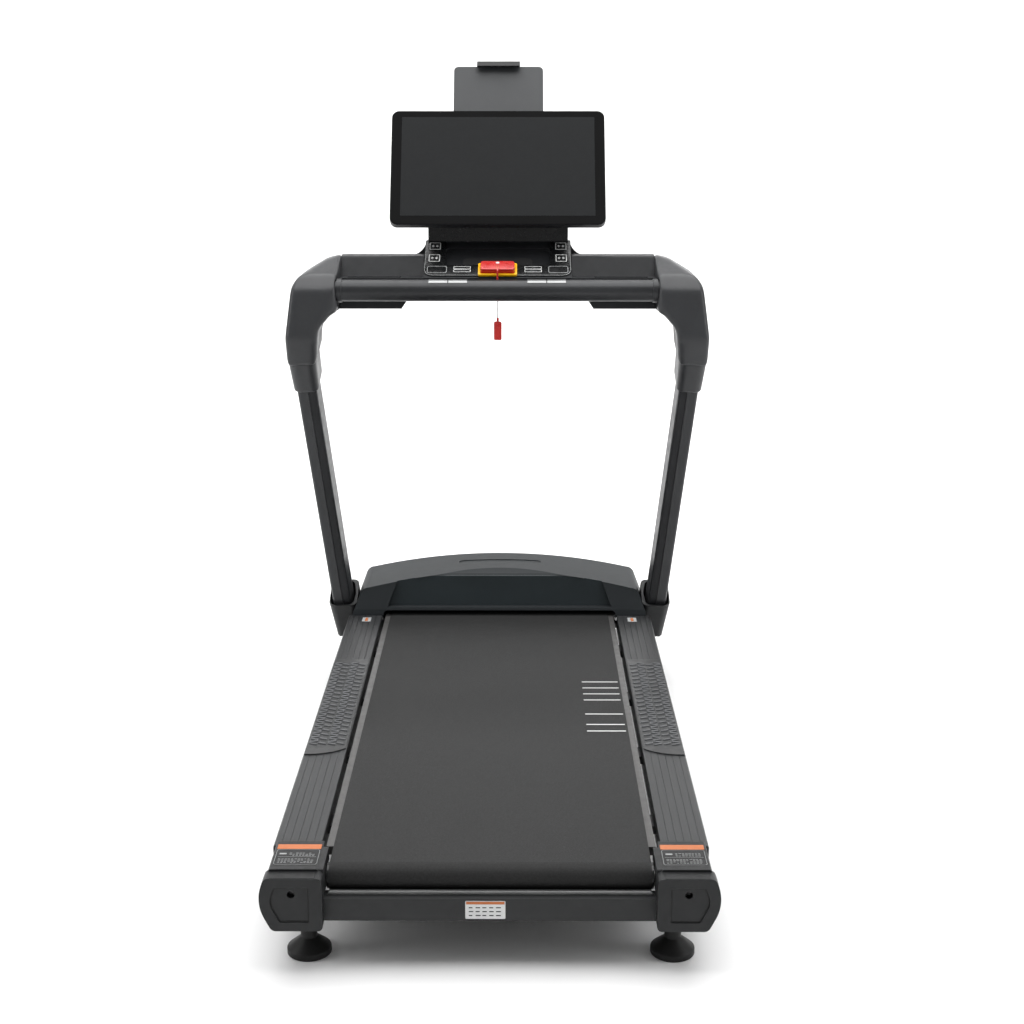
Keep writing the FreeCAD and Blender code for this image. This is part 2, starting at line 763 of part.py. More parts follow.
# ---------------------------------------------------------------- electrics
def make_controller_box():
    """Motor controller in its finned case."""
    box_x = screw_x + 44
    y0 = front + 125
    case = box(box_x, box_x + 118, y0, y0 + 130, base_top, base_top + 42)
    for index in range(8):
        x = box_x + 8 + index * 13
        case = case.cut(box(x, x + 5, y0 - 1, y0 + 131, base_top + 32, base_top + 43))
    return case


def make_power_inlet():
    """Mains inlet with a three-pin socket and the window for the rocker switch."""
    body = slab(inlet_x, inlet_x + inlet_width, nose - inlet_depth, nose, inlet_low, inlet_high, 0)
    cx = inlet_x + socket_offset
    cz = (inlet_low + inlet_high) / 2
    socket = prism([(cx - 13, cz - 9, 1), (cx + 13, cz - 9, 1), (cx + 13, cz + 4, 1), (cx + 8, cz + 9, 1),
                    (cx - 8, cz + 9, 1), (cx - 13, cz + 4, 1)], "xz", nose - 18, nose + 1)
    body = body.cut(socket)
    for dx, dz in ((-7, -2), (7, -2), (0, 3)):
        body = body.fuse(box(cx + dx - 1, cx + dx + 1, nose - 19, nose - 5, cz + dz - 2, cz + dz + 2))
    rx = inlet_x + rocker_offset
    half = rocker_half + slide_gap
    window = box(rx - half, rx + half, nose - 16, nose + 1, cz - half, cz + half)
    pin = rod_x(rocker_pin_radius + running_fit, rx - half - 2, rx + half + 2, nose - 8, cz)
    return body.cut(window).cut(pin).removeSplitter()


def make_power_switch():
    """Rocker on its pivot pin."""
    rx = inlet_x + rocker_offset
    cz = (inlet_low + inlet_high) / 2
    rocker_outline = [
        (nose - 12, cz - 4), (nose - 2, cz - rocker_half + 1, 1), (nose - 1.2, cz),
        (nose - 2, cz + rocker_half - 1, 1), (nose - 12, cz + 4),
    ]
    rocker = prism(rocker_outline, "yz", rx - rocker_half, rx + rocker_half)
    pin = rod_x(rocker_pin_radius, rx - rocker_half - 2, rx + rocker_half + 2, nose - 8, cz)
    return rocker.fuse(pin).removeSplitter()


# ---------------------------------------------------------------- hood
def hood_blank(inset):
    """Hood's outside, drawn in by the inset: crowned front view crossed with the side view."""
    half = hood_half - inset
    crown = belt_top + hood_crown - inset
    shoulder = belt_top + hood_shoulder - inset
    low = hood_bottom - 4 * inset

    def at(x, z):
        return Vector(x, z, 0)

    right = [at(half, low), at(half, belt_top + 5), at(half - 16, shoulder - 18)]
    turn = at(half - 22, shoulder - 7)
    top = at(half - 38, shoulder)
    left = [at(-p.x, p.y) for p in right]
    edges = [
        Part.LineSegment(left[0], right[0]).toShape(),
        Part.LineSegment(right[0], right[1]).toShape(),
        Part.LineSegment(right[1], right[2]).toShape(),
        Part.Arc(right[2], turn, top).toShape(),
        Part.Arc(top, at(0, crown), at(-top.x, top.y)).toShape(),
        Part.Arc(at(-top.x, top.y), at(-turn.x, turn.y), left[2]).toShape(),
        Part.LineSegment(left[2], left[1]).toShape(),
        Part.LineSegment(left[1], left[0]).toShape(),
    ]
    y0 = hood_front + inset
    y1 = nose - inset
    ridge = hood_front + hood_ridge
    arch = placed(Part.Face(Part.Wire(edges)), "xz", ridge, ridge)
    level = arch.extrude(Vector(0, y0 - 10 - ridge, 0))
    run = y1 + 10 - ridge
    falling = arch.extrude(Vector(0, run, -hood_fall * run))
    falling = falling.fuse(box(-half, half, ridge, y1 + 10, low, belt_top + 5 - hood_fall * run))
    view = level.fuse(falling)
    profile = shifted(hood_side_view, y0 - inset, belt_top - inset)
    profile[0] = (y0, profile[0][1])
    profile[-2] = (y1 - 10, profile[-2][1], hood_side_view[-2][2])
    profile[-1] = (y1, profile[-1][1])
    side = prism([(y0, low)] + profile + [(y1, low)], "yz", -half - 5, half + 5)
    return view.common(side)


def recess_wedge(grow):
    """Space of the recess in the hood's user side, widened all round by grow."""
    half = hood_half - 88 + grow
    low = belt_top + 20 - grow
    y0 = hood_front + 26 + grow
    side = prism([(hood_front - 20, low), (y0, low), (y0 + 22, low + 86 + 2 * grow),
                  (hood_front - 20, low + 86 + 2 * grow)], "yz", -half - 5, half + 5)
    top = belt_top + 97 + grow
    corner = belt_top + 82 + grow

    def at(x, z):
        return Vector(x, z, 0)

    edges = [
        Part.LineSegment(at(-half, low), at(half, low)).toShape(),
        Part.LineSegment(at(half, low), at(half - 24, corner)).toShape(),
        Part.Arc(at(half - 24, corner), at(0, top), at(-half + 24, corner)).toShape(),
        Part.LineSegment(at(-half + 24, corner), at(-half, low)).toShape(),
    ]
    view = Part.Face(Part.Wire(edges)).extrude(Vector(0, 0, 140))
    return side.common(placed(view, "xz", hood_front - 30, hood_front + 110))


def make_motor_hood():
    """Moulded hood over the motor bay."""
    hood = hood_blank(0.0).cut(recess_wedge(0.0))
    inside = hood_blank(hood_wall).cut(recess_wedge(hood_wall))
    hood = hood.cut(inside)
    side_way = box(-beam_out - 3, beam_out + 3, hood_front - 1, hood_front + hood_wall + 8,
                   hood_bottom - 5, beam_top + 3)
    half = rail_in - 3
    low = hood_bottom - 5
    lip = belt_top + hood_lip
    way = [(-half, low), (half, low), (half, lip, hood_lip_radius), (-half, lip, hood_lip_radius)]
    belt_way = prism(way, "xz", hood_front - 1, hood_front + 60)
    hood = hood.cut(side_way).cut(belt_way)
    dash = slab(-dash_half, dash_half, hood_front + dash_start, hood_front + dash_end, belt_top,
                belt_top + 2 * hood_crown, (dash_end - dash_start) / 2 - 1)
    hood = hood.cut(dash.cut(hood_blank(dash_depth)))
    for boot in (boot_blank(cover_gap), mirrored(boot_blank(cover_gap))):
        hood = hood.cut(boot)
    socket_way = box(inlet_x - 0.5, inlet_x + inlet_width + 0.5, nose - 40, nose + 5, inlet_low - 0.5,
                     inlet_high + 0.5)
    hood = hood.cut(socket_way)
    return max(hood.Solids, key=lambda part: part.Volume)


def make_hood_panel():
    """Dark plate that lines the recess."""
    space = recess_wedge(0.0)
    front_space = space.copy()
    front_space.translate(Vector(0, -panel_thickness, 0))
    plate = space.cut(front_space).common(hood_blank(0.0))
    return max(plate.Solids, key=lambda part: part.Volume)


def make_belly_pan():
    """Plate that closes the motor bay from below, in front of the lifting frame."""
    pan = slab(-beam_out, beam_out, front + 218, nose - 8, beam_bottom - 3, beam_bottom, 12)
    return pan


# ---------------------------------------------------------------- uprights
def upright_frame():
    """Placement of the right upright: local Z runs up the tube, local Y away from the user."""
    along = Vector(upright_splay, -upright_lean, upright_knee_rise)
    foot = Vector(beam_out + upright_out, front - upright_back, upright_foot_z)
    turn = Rotation(Vector(1, 0, 0), Vector(0, 1, 0), along, "ZXY")
    return FreeCAD.Placement(foot, turn)


def along_upright(z):
    """Distance up the tube at which its front face reaches the height z."""
    run = math.sqrt(upright_splay ** 2 + upright_lean ** 2 + upright_knee_rise ** 2)
    return (z - upright_foot_z) * run / upright_knee_rise


def upright_section(grow):
    """Outline across the tube, drawn out by grow: flat face, flared flanks, round back."""
    nose_half = upright_front / 2 + grow
    mid_half = upright_mid / 2 + grow
    tail_half = upright_tail / 2 + grow
    depth = upright_depth + grow
    flare = upright_depth * 0.45
    return [
        (-nose_half, -grow, 6 + grow), (nose_half, -grow, 6 + grow), (mid_half, flare, 12 + grow),
        (tail_half, depth, 14 + grow), (-tail_half, depth, 14 + grow), (-mid_half, flare, 12 + grow),
    ]


def on_upright(points, low, high):
    """Outline drawn along the right upright between two distances."""
    solid = Part.Face(outline(points)).extrude(Vector(0, 0, high - low))
    solid.translate(Vector(0, 0, low))
    return stood(solid)


def stood(shape):
    """Move a shape drawn along Z onto the right upright."""
    shape.Placement = upright_frame().multiply(shape.Placement)
    return shape


def upright_solid(grow):
    """Full outer shape of the right upright."""
    return on_upright(upright_section(grow), along_upright(upright_bottom_z), upright_tip)


def channel_box(y0, y1, low, high, trim):
    """Strip along the face, on the half of it that is nearer the belt."""
    x0 = -channel_offset - channel_width / 2 + trim
    x1 = -channel_offset + channel_width / 2 - trim
    return on_upright([(x0, y0), (x1, y0), (x1, y1), (x0, y1)], low, high)


def make_upright():
    """Right steel upright with a long groove in its face."""
    low = along_upright(upright_bottom_z)
    outer = upright_solid(0.0)
    bore = on_upright(upright_section(-upright_wall), low + 4, upright_tip + 1)
    groove = channel_box(-1, channel_depth, along_upright(upright_foot_z) - 30, upright_tip + 1, 0.0)
    return outer.cut(bore).cut(groove)


def make_upright_channels():
    """Black strips in the bottoms of the uprights' grooves."""
    strip = channel_box(channel_depth - 1.0, channel_depth, -28.0, upright_tip - 2, 0.3)
    return pair(strip)


def boot_outline(grow):
    """Outline across the boot at its rim."""
    x = upright_mid / 2 + boot_margin + grow
    y0 = -boot_margin - grow
    y1 = upright_depth + 9 + grow
    return [(-x, y0, 16), (x - 5, y0, 18), (x - 5, y1, 20), (-x, y1, 16)]


def boot_blank(grow):
    """Outside of the boot, narrowing downwards."""
    low = -boot_height
    top = outline(boot_outline(grow))
    x = upright_mid / 2 + boot_margin + grow
    y0 = -7 - grow
    y1 = upright_depth + 4 + grow
    bottom = outline([(-x, y0, 14), (x - 16, y0, 16), (x - 16, y1, 16), (-x, y1, 14)])
    bottom.translate(Vector(0, 0, low))
    body = stood(Part.makeLoft([bottom, top], True, True))
    y0 = front - upright_back - 60
    return body.common(box(beam_out + 2, beam_out + 120, y0, y0 + 260, 100 - grow, 300))


def make_boots():
    """Moulded boots round the feet of both uprights, with a dished mouth."""
    boot = boot_blank(0.0)
    boot = boot.cut(on_upright(upright_section(0.0), -boot_height - 40, 60))
    mouth = [outline(upright_section(6.0)), outline(upright_section(0.5))]
    mouth[0].translate(Vector(0, 0, 1))
    mouth[1].translate(Vector(0, 0, -26))
    funnel = stood(Part.makeLoft(mouth, True, True))
    boot = boot.cut(funnel)
    boot = boot.cut(box(beam_out - 1, beam_out + upright_out, front - 21, front + 45, 95, 151))
    return pair(max(boot.Solids, key=lambda part: part.Volume))


# ---------------------------------------------------------------- handrail
def collar_section(side, front_gap, back_gap, radius):
    """Rounded outline round the tube."""
    back = upright_depth + back_gap
    corners = [(-side, -front_gap), (side, -front_gap), (side, back), (-side, back)]
    return [(x, y, radius) for x, y in corners]


def make_grip_collars():
    """Sleeves below the grips, round the upper ends of the uprights."""
    low = outline(collar_section(28.5, 8, 6, 15))
    low.translate(Vector(0, 0, collar_along))
    high = outline(collar_section(31.0, 11, 9, 17))
    high.translate(Vector(0, 0, seam_along - 0.6))
    sleeve = stood(Part.makeLoft([low, high], True, True))
    return pair(sleeve.cut(upright_solid(0.0)))


def grip_blank():
    """Right grip: front, side and plan views crossed, above the seam with the collar."""
    front_view = prism(shifted(grip_front_view, collar_x, bar_height), "xz", bar_y - 80, bar_y + 190)
    side_view = prism(shifted(grip_side_view, bar_y, bar_height), "yz", wing_half - 50, collar_x + 60)
    plan_view = prism(shifted(grip_plan_view, collar_x, bar_y), "xy", bar_height - 200, bar_height + 90)
    above = on_upright([(-200, -200), (200, -200), (200, 400), (-200, 400)], seam_along, seam_along + 500)
    return front_view.common(side_view).common(plan_view).common(above)


def make_grip():
    """Right grip, bored for the upright and the handlebar."""
    grip = grip_blank().cut(upright_solid(0.0))
    grip = grip.cut(rod_x(bar_radius, wing_half - 1, wing_half + bar_insert, bar_y, bar_height))
    grip = grip.cut(cover_space(0.0))
    return max(grip.Solids, key=lambda part: part.Volume)


def cover_space(trim):
    """Room of the cover on the grip's inner flank."""
    near = shifted(cover_side_view[:3], bar_y + trim, bar_height)
    far = shifted(cover_side_view[3:], bar_y - trim, bar_height)
    strip = prism(near + far, "yz", 0, collar_x + 200)
    band = prism(shifted(cover_front_view, collar_x, bar_height), "xz", bar_y - 100, bar_y + 200)
    return strip.common(band)


def make_grip_covers():
    """Screwed covers on the inner flanks of the grips."""
    cover = grip_blank().cut(upright_solid(0.5)).common(cover_space(0.3))
    return pair(max(cover.Solids, key=lambda part: part.Volume))


def make_handlebar():
    """Cross bar between the grips with its two end ferrules."""
    reach = wing_half + bar_insert - 1
    bar = rod_x(bar_radius, -reach, reach, bar_y, bar_height)
    bar = bar.cut(rod_x(bar_radius - bar_wall, -reach - 1, reach + 1, bar_y, bar_height))
    parts = [bar]
    for side in (-1, 1):
        x0 = side * wing_half
        x1 = side * (wing_half - ferrule_width)
        ring = rod_x(bar_radius + ferrule_wall, min(x0, x1), max(x0, x1), bar_y, bar_height)
        parts.append(ring.cut(rod_x(bar_radius, min(x0, x1) - 1, max(x0, x1) + 1, bar_y, bar_height)))
    return group(parts)


def make_pulse_plates():
    """Four bright hand-pulse plates wrapped over the top of the bar."""
    plates = []
    for start in pulse_starts:
        ring = rod_x(bar_radius + pulse_thickness, start, start + pulse_length, bar_y, bar_height)
        ring = ring.cut(rod_x(bar_radius, start - 1, start + pulse_length + 1, bar_y, bar_height))
        window = box(start + 0.1, start + pulse_length - 0.1, bar_y - 16, bar_y + 12, bar_height + 5,
                     bar_height + 60)
        plates.append(ring.common(window))
    return group(plates)


# ---------------------------------------------------------------- console
def panel_frame():
    """Placement of the keypad slope: local Y up the slope, local Z out of it."""
    origin = Vector(0, console_y + 4, bar_height + 29.5)
    return FreeCAD.Placement(origin, Rotation(Vector(1, 0, 0), panel_angle))


def on_panel(shape):
    """Move a shape drawn flat onto the keypad slope."""
    shape.Placement = panel_frame().multiply(shape.Placement)
    return shape


keys = {
    "key_left_upper": (-key_square_x, key_high_y, key_square),
    "key_left_lower": (-key_square_x, key_low_y, key_square),
    "key_right_upper": (key_square_x, key_high_y, key_square),
    "key_right_lower": (key_square_x, key_low_y, key_square),
    "key_left_bar": (-key_bar_x, key_bar_y, key_bar),
    "key_right_bar": (key_bar_x, key_bar_y, key_bar),
}


def key_block(place, grow, low, high):
    """Rounded block at a key's place on the slope."""
    x, y, size = place
    half_x = size[0] / 2 + grow
    half_y = size[1] / 2 + grow
    return on_panel(slab(x - half_x, x + half_x, y - half_y, y + half_y, low, high, 3))


def make_key(place):
    """Keypad key, pressed into the slope."""
    return key_block(place, 0.0, -plate_thickness, key_height)


def make_keypad_panel():
    """U-shaped plate round the shelf, with a window for each key."""
    plate = on_panel(prism([
        (-panel_half, 0, 22), (panel_half, 0, 22), (panel_half, panel_length - 2, 3),
        (shelf_half, panel_length - 2, 3), (shelf_half, shelf_start, 6), (-shelf_half, shelf_start, 6),
        (-shelf_half, panel_length - 2, 3), (-panel_half, panel_length - 2, 3),
    ], "xy", -plate_thickness, 0))
    for place in keys.values():
        plate = plate.cut(key_block(place, key_gap, -plate_thickness - 1, 1))
    return plate


def wing_body():
    """Wing behind the bar: deep ends with the trays, thin middle."""
    z = bar_height
    front_view = prism([
        (-wing_half, z - 45), (-217, z - 45), (-203, z - 24), (203, z - 24), (217, z - 45),
        (wing_half, z - 45), (wing_half, z + 70), (-wing_half, z + 70),
    ], "xz", console_y - 5, console_y + 130)
    side_view = prism(shifted(wing_side_view, console_y, z), "yz", -wing_half, wing_half)
    return front_view.common(side_view)


def centre_body():
    """Block under the keypad slope."""
    z = bar_height
    slope = math.radians(panel_angle)
    top_y = console_y + 4 + panel_length * math.cos(slope)
    top_z = z + 29.5 + panel_length * math.sin(slope)
    return prism([
        (console_y, z - 24, 3), (console_y, z + 27.5, 2), (console_y + 4, z + 29.5), (top_y, top_z),
        (top_y + 52, top_z, 8), (top_y + 40, z - 24, 20),
    ], "yz", -console_half, console_half)


def make_console_body():
    """Console moulding: wings with trays, keypad block and shelf recess."""
    z = bar_height
    body = wing_body().fuse(centre_body())
    for side in (-1, 1):
        x0 = side * (console_half - 2)
        x1 = side * (console_half + 44)
        rise = [Vector(x0, z + 50, 0), Vector(x1, z + 50, 0), Vector(x1, z + 64, 0), Vector(x0, z + 94, 0)]
        sweep = Part.Arc(rise[2], Vector(side * (console_half + 13), z + 72, 0), rise[3]).toShape()
        edges = [Part.LineSegment(rise[0], rise[1]).toShape(), Part.LineSegment(rise[1], rise[2]).toShape(),
                 sweep, Part.LineSegment(rise[3], rise[0]).toShape()]
        web = Part.Face(Part.Wire(edges)).extrude(Vector(0, 0, 24))
        body = body.fuse(placed(web, "xz", console_y + 104, console_y + 132))
        tray_end = side * (wing_half - 17)
        tray_start = side * tray_inner
        y0 = console_y + tray_wall
        y1 = console_y + 36
        tray = prism([(y0, z - 37, 4), (y1, z - 37, 8), (y1, z + 80), (y0, z + 80)], "yz",
                     min(tray_start, tray_end), max(tray_start, tray_end))
        body = body.cut(tray)
    shelf = on_panel(prism([(-shelf_half, shelf_start, 6), (shelf_half, shelf_start, 6),
                            (shelf_half, 120, 10), (-shelf_half, 120, 10)], "xy", -10, 20))
    seat = on_panel(box(-panel_half - 2, panel_half + 2, -8, panel_length + 1, -plate_thickness, 40))
    seat = seat.cut(box(-500, 500, console_y - 50, console_y, 0, 3000))
    body = body.cut(shelf).cut(seat)
    for place in keys.values():
        body = body.cut(key_block(place, 1.0, -plate_thickness - key_travel - 1.5, 1))
    return max(body.Solids, key=lambda part: part.Volume).removeSplitter()


def make_shelf_mat():
    """Rubber mat on the floor of the shelf."""
    return on_panel(prism([(-80, shelf_start + 2, 2), (80, shelf_start + 2, 2), (80, 86, 14), (-80, 86, 14)],
                          "xy", -10, -8))


def make_key_holder():
    """Yellow frame that the safety key sits in."""
    frame = on_panel(slab(-44, 44, -3.5, 43.5, 0, 5, 4))
    pocket = on_panel(slab(-39.5, 39.5, 0.5, 41.5, 2, 6, 3))
    return frame.cut(pocket)


def make_safety_key():
    """Magnetic red key with its strap and ferrule."""
    block = on_panel(slab(-38, 38, 2.5, 36.5, 2, 15, 6))
    origin = panel_frame()

    def spot(s, n):
        point = origin.multVec(Vector(0, s, n))
        return (point.y, point.z)

    drop_y = cord_points[0].y
    strap = prism([spot(24, 15), spot(24, 16.4), spot(2.0, 16.4), (drop_y - 0.8, spot(2.0, 16.4)[1] - 3),
                   (drop_y - 0.8, cord_points[0].z + 3), (drop_y + 0.8, cord_points[0].z + 3),
                   (drop_y + 0.8, spot(2.0, 15)[1] - 3), spot(2.6, 15)], "yz", -2, 2)
    back_along = (cord_points[0] - cord_points[1]).normalize()
    ferrule = rod(2.2, cord_points[0], cord_points[0] + back_along * 6)
    rivet = on_panel(Part.makeCylinder(3, 1.2, Vector(0, 20, 16.2)))
    return block.fuse(strap).fuse(ferrule).fuse(rivet).removeSplitter()


def make_key_cord():
    """Lanyard: straight runs joined by arcs that touch them."""
    edges = []
    start = cord_points[0]
    for index in range(1, len(cord_points) - 1):
        here = cord_points[index]
        to_back = cord_points[index - 1] - here
        to_ahead = cord_points[index + 1] - here
        shorter = min(to_back.Length, to_ahead.Length)
        to_back.normalize()
        to_ahead.normalize()
        half_turn = (math.pi - to_back.getAngle(to_ahead)) / 2
        radius = 0.45 * shorter / math.tan(half_turn)
        print("cord arc radius %.0f mm, turn %.1f degrees" % (radius, math.degrees(2 * half_turn)))
        reach = 0.45 * shorter
        middle = (to_back + to_ahead).normalize() * (radius / math.cos(half_turn) - radius)
        edges.append(Part.LineSegment(start, here + to_back * reach).toShape())
        edges.append(Part.Arc(here + to_back * reach, here + middle, here + to_ahead * reach).toShape())
        start = here + to_ahead * reach
    edges.append(Part.LineSegment(start, cord_points[-1]).toShape())
    path = Part.Wire(edges)
    path_length = path.Length
    direction = cord_points[1] - cord_points[0]
    profile = Part.Wire([Part.makeCircle(cord_radius, cord_points[0], direction)])
    tube = path.makePipeShell([profile], True, False)
    expected = math.pi * cord_radius ** 2 * path_length
    print("cord length %.1f mm, volume %.1f against %.1f mm3" % (path_length, tube.Volume, expected))
    return tube


def make_key_tag():
    """Red tag on the end of the lanyard."""
    end = cord_points[-1]
    low = end.z - tag_length
    high = end.z - 8
    plate = prism([(-tag_half, low, 3), (tag_half, low, 3), (tag_half, high, 4), (-tag_half, high, 4)],
                  "xz", -tag_thickness / 2, tag_thickness / 2)
    plate.translate(Vector(end.x, end.y, 0))
    onward = (end - cord_points[-2]).normalize()
    return plate.fuse(rod(2.6, end, end + onward * 9)).removeSplitter()


# ---------------------------------------------------------------- display
def display_frame():
    """Placement of the display: local Y up its face, local Z out of the glass."""
    origin = Vector(0, bar_y + 92, bar_height + 139.5)
    return FreeCAD.Placement(origin, Rotation(Vector(1, 0, 0), display_lean))


def on_display(shape):
    """Move a shape drawn flat onto the display's face."""
    shape.Placement = display_frame().multiply(shape.Placement)
    return shape


def make_monitor_body():
    """Display housing behind the glass, with a thinner edge."""
    half = display_width / 2
    shell = slab(-half, half, 0, display_height, -18, -glass_thickness, display_corner)
    back = slab(-half + 22, half - 22, 14, display_height - 16, -display_depth, -17, display_corner)
    return on_display(shell.fuse(back).removeSplitter())


def make_monitor_glass():
    """Front glass, over the whole display."""
    half = display_width / 2 - 1
    return on_display(slab(-half, half, 1, display_height - 1, -glass_thickness, 0, display_corner - 1))


def make_monitor_neck():
    """Neck from the console up to the back of the display."""
    slope = math.radians(panel_angle)
    foot_y = console_y + 4 + panel_length * math.cos(slope)
    foot_z = bar_height + 29.5 + panel_length * math.sin(slope)
    frame = display_frame()
    low = frame.multVec(Vector(0, 84, -display_depth))
    high = frame.multVec(Vector(0, 200, -display_depth))
    shoulder_z = low.z - (low.y - foot_y) * 0.2
    return prism([(foot_y, foot_z), (foot_y, shoulder_z), (low.y, low.z), (high.y, high.z),
                  (high.y + 26, high.z - 22, 14), (foot_y + 44, foot_z)], "yz", -neck_half, neck_half)


def make_tablet_plate():
    """Plate behind the display that a tablet leans on."""
    half = tablet_width / 2
    start = display_height + tablet_rise - tablet_length
    plate = slab(-half, half, start, start + tablet_length, -display_depth - tablet_thickness,
                 -display_depth, 11)
    groove = box(-half + 8, half - 8, display_height + 4, display_height + 7, -display_depth - 1.2,
                 -display_depth + 1)
    return on_display(plate.cut(groove))


def make_tablet_clip():
    """Sprung clip that slides up the back of the tablet plate."""
    top = display_height + tablet_rise
    back = -display_depth - tablet_thickness
    half = clip_width / 2
    strip = slab(-clip_strip / 2, clip_strip / 2, top - 100, top + 4, back - 5, back - slide_gap, 0)
    hook = box(-half, half, top + slide_gap, top + 4, back - 5, -display_depth + 17)
    lip = box(-half, half, top - 8, top + 4, -display_depth + 13, -display_depth + 17)
    return on_display(strip.fuse(hook).fuse(lip).removeSplitter())


# ---------------------------------------------------------------- all sub-parts
def both_sides(name, shape):
    """Left and right copies of a piece as two sub-parts."""
    return {name + "_left": mirrored(shape), name + "_right": shape}


parts = {}
parts.update(both_sides("side_beam", make_side_beam()))
parts["crossmembers"] = make_crossmembers()
parts["rear_crossbar"] = make_rear_crossbar()
parts["guard_strip"] = make_guard_strip()
parts["deck_board"] = make_deck_board()
parts["deck_cushions"] = make_cushions()
parts["running_belt"] = make_running_belt()
parts.update(both_sides("side_rail", make_side_rail()))
parts["foot_grips"] = make_foot_grips()
parts.update(both_sides("rear_cap", make_rear_cap()))
parts.update(both_sides("rear_foot", make_rear_foot()))
parts["motor_hood"] = make_motor_hood()
parts["hood_panel"] = make_hood_panel()
parts["belly_pan"] = make_belly_pan()
parts["fixed_axles"] = make_fixed_axles()
parts["front_roller"] = make_roller(front, True)
parts["rear_roller"] = make_roller(0.0, False)
parts["motor_rotor"] = make_motor_rotor()
parts["drive_motor"] = make_drive_motor()
parts["drive_belt"] = make_drive_belt()
parts["controller_box"] = make_controller_box()
parts["power_inlet"] = make_power_inlet()
parts["power_switch"] = make_power_switch()
parts["lift_frame"] = make_lift_frame()
parts["lift_wheel_left"] = make_lift_wheel(-1)
parts["lift_wheel_right"] = make_lift_wheel(1)
parts["incline_motor"] = make_incline_motor()
parts["incline_screw"] = make_incline_screw()
parts.update(both_sides("upright", make_upright()))
parts["upright_channels"] = make_upright_channels()
parts["boots"] = make_boots()
parts.update(both_sides("grip", make_grip()))
parts["grip_collars"] = make_grip_collars()
parts["grip_covers"] = make_grip_covers()
parts["handlebar"] = make_handlebar()
parts["pulse_plates"] = make_pulse_plates()
parts["console_body"] = make_console_body()
parts["keypad_panel"] = make_keypad_panel()
parts["shelf_mat"] = make_shelf_mat()
parts["key_holder"] = make_key_holder()
parts["safety_key"] = make_safety_key()
parts["key_cord"] = make_key_cord()
parts["key_tag"] = make_key_tag()
for key_name, key_place in keys.items():
    parts[key_name] = make_key(key_place)
parts["monitor_neck"] = make_monitor_neck()
parts["monitor_body"] = make_monitor_body()
parts["monitor_glass"] = make_monitor_glass()
parts["tablet_plate"] = make_tablet_plate()
parts["tablet_clip"] = make_tablet_clip()

os.makedirs("parts", exist_ok=True)
for part_name, part_shape in parts.items():
    placed_shape = part_shape.copy()
    placed_shape.translate(Vector(0, rear_axis_y, 0))
    placed_shape.exportStep("parts/" + part_name + ".step")
    bounds = placed_shape.BoundBox
    print("%-18s solids %d valid %s volume %.0f  x %.1f %.1f  y %.1f %.1f  z %.1f %.1f" % (
        part_name, len(placed_shape.Solids), placed_shape.isValid(), placed_shape.Volume, bounds.XMin,
        bounds.XMax, bounds.YMin, bounds.YMax, bounds.ZMin, bounds.ZMax))
print("%d sub-parts" % len(parts))
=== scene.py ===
"""Looks of the treadmill: materials, fine detail, floor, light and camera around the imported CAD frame."""
import json
import math
import random

import bmesh
import bpy
from mathutils import Matrix, Vector


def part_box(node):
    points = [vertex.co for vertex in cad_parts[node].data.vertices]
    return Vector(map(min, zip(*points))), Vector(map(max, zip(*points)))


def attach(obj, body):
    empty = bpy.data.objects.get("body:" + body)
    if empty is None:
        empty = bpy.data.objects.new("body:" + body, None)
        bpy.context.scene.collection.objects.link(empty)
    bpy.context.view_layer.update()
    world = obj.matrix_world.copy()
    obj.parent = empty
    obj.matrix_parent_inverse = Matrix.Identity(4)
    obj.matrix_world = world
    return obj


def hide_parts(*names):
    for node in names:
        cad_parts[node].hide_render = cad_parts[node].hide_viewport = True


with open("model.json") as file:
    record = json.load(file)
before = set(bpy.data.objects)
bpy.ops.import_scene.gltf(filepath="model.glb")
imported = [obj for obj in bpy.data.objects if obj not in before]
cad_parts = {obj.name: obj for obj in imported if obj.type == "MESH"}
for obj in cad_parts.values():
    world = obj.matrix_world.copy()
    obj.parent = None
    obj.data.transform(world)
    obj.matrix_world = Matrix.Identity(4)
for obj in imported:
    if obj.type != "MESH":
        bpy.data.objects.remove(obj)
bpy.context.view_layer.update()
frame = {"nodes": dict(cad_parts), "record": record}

scene = bpy.context.scene
nodes = frame["nodes"]
rng = random.Random(7)


# ---------------------------------------------------------------- camera
CAMERA_PLACE = (0.0463, -3.3867, 1.4358)
CAMERA_TURN = (math.radians(75.6914), 0.0, math.radians(0.21374))
CAMERA_LENS = 56.605
CAMERA_SENSOR = 36.0

camera = bpy.data.objects.new("camera", bpy.data.cameras.new("camera"))
camera.data.lens = CAMERA_LENS
camera.data.sensor_width = CAMERA_SENSOR
camera.location = CAMERA_PLACE
camera.rotation_euler = CAMERA_TURN
scene.collection.objects.link(camera)
scene.camera = camera


# ---------------------------------------------------------------- the safety key's lanyard
LANYARD = [(0.0, 0.2510, 1.046), (0.0009, 0.2518, 1.003), (0.0005, 0.2512, 0.961)]
LANYARD_WIDTH = 0.002

curve = bpy.data.curves.new("lanyard", "CURVE")
curve.dimensions = "3D"
# each point carries the cord's radius, so that the curve's own box is as wide as the cord
spline = curve.splines.new("NURBS")
spline.points.add(len(LANYARD) - 1)
for point, place in zip(spline.points, LANYARD):
    point.co = (*place, 1.0)
    point.radius = LANYARD_WIDTH / 2
spline.order_u = 3
spline.use_endpoint_u = True
curve.resolution_u = 24
curve.bevel_depth = 1.0
curve.bevel_resolution = 4
curve.use_fill_caps = True
lanyard = bpy.data.objects.new("lanyard", curve)
scene.collection.objects.link(lanyard)
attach(lanyard, "safety_key")
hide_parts("key_cord")


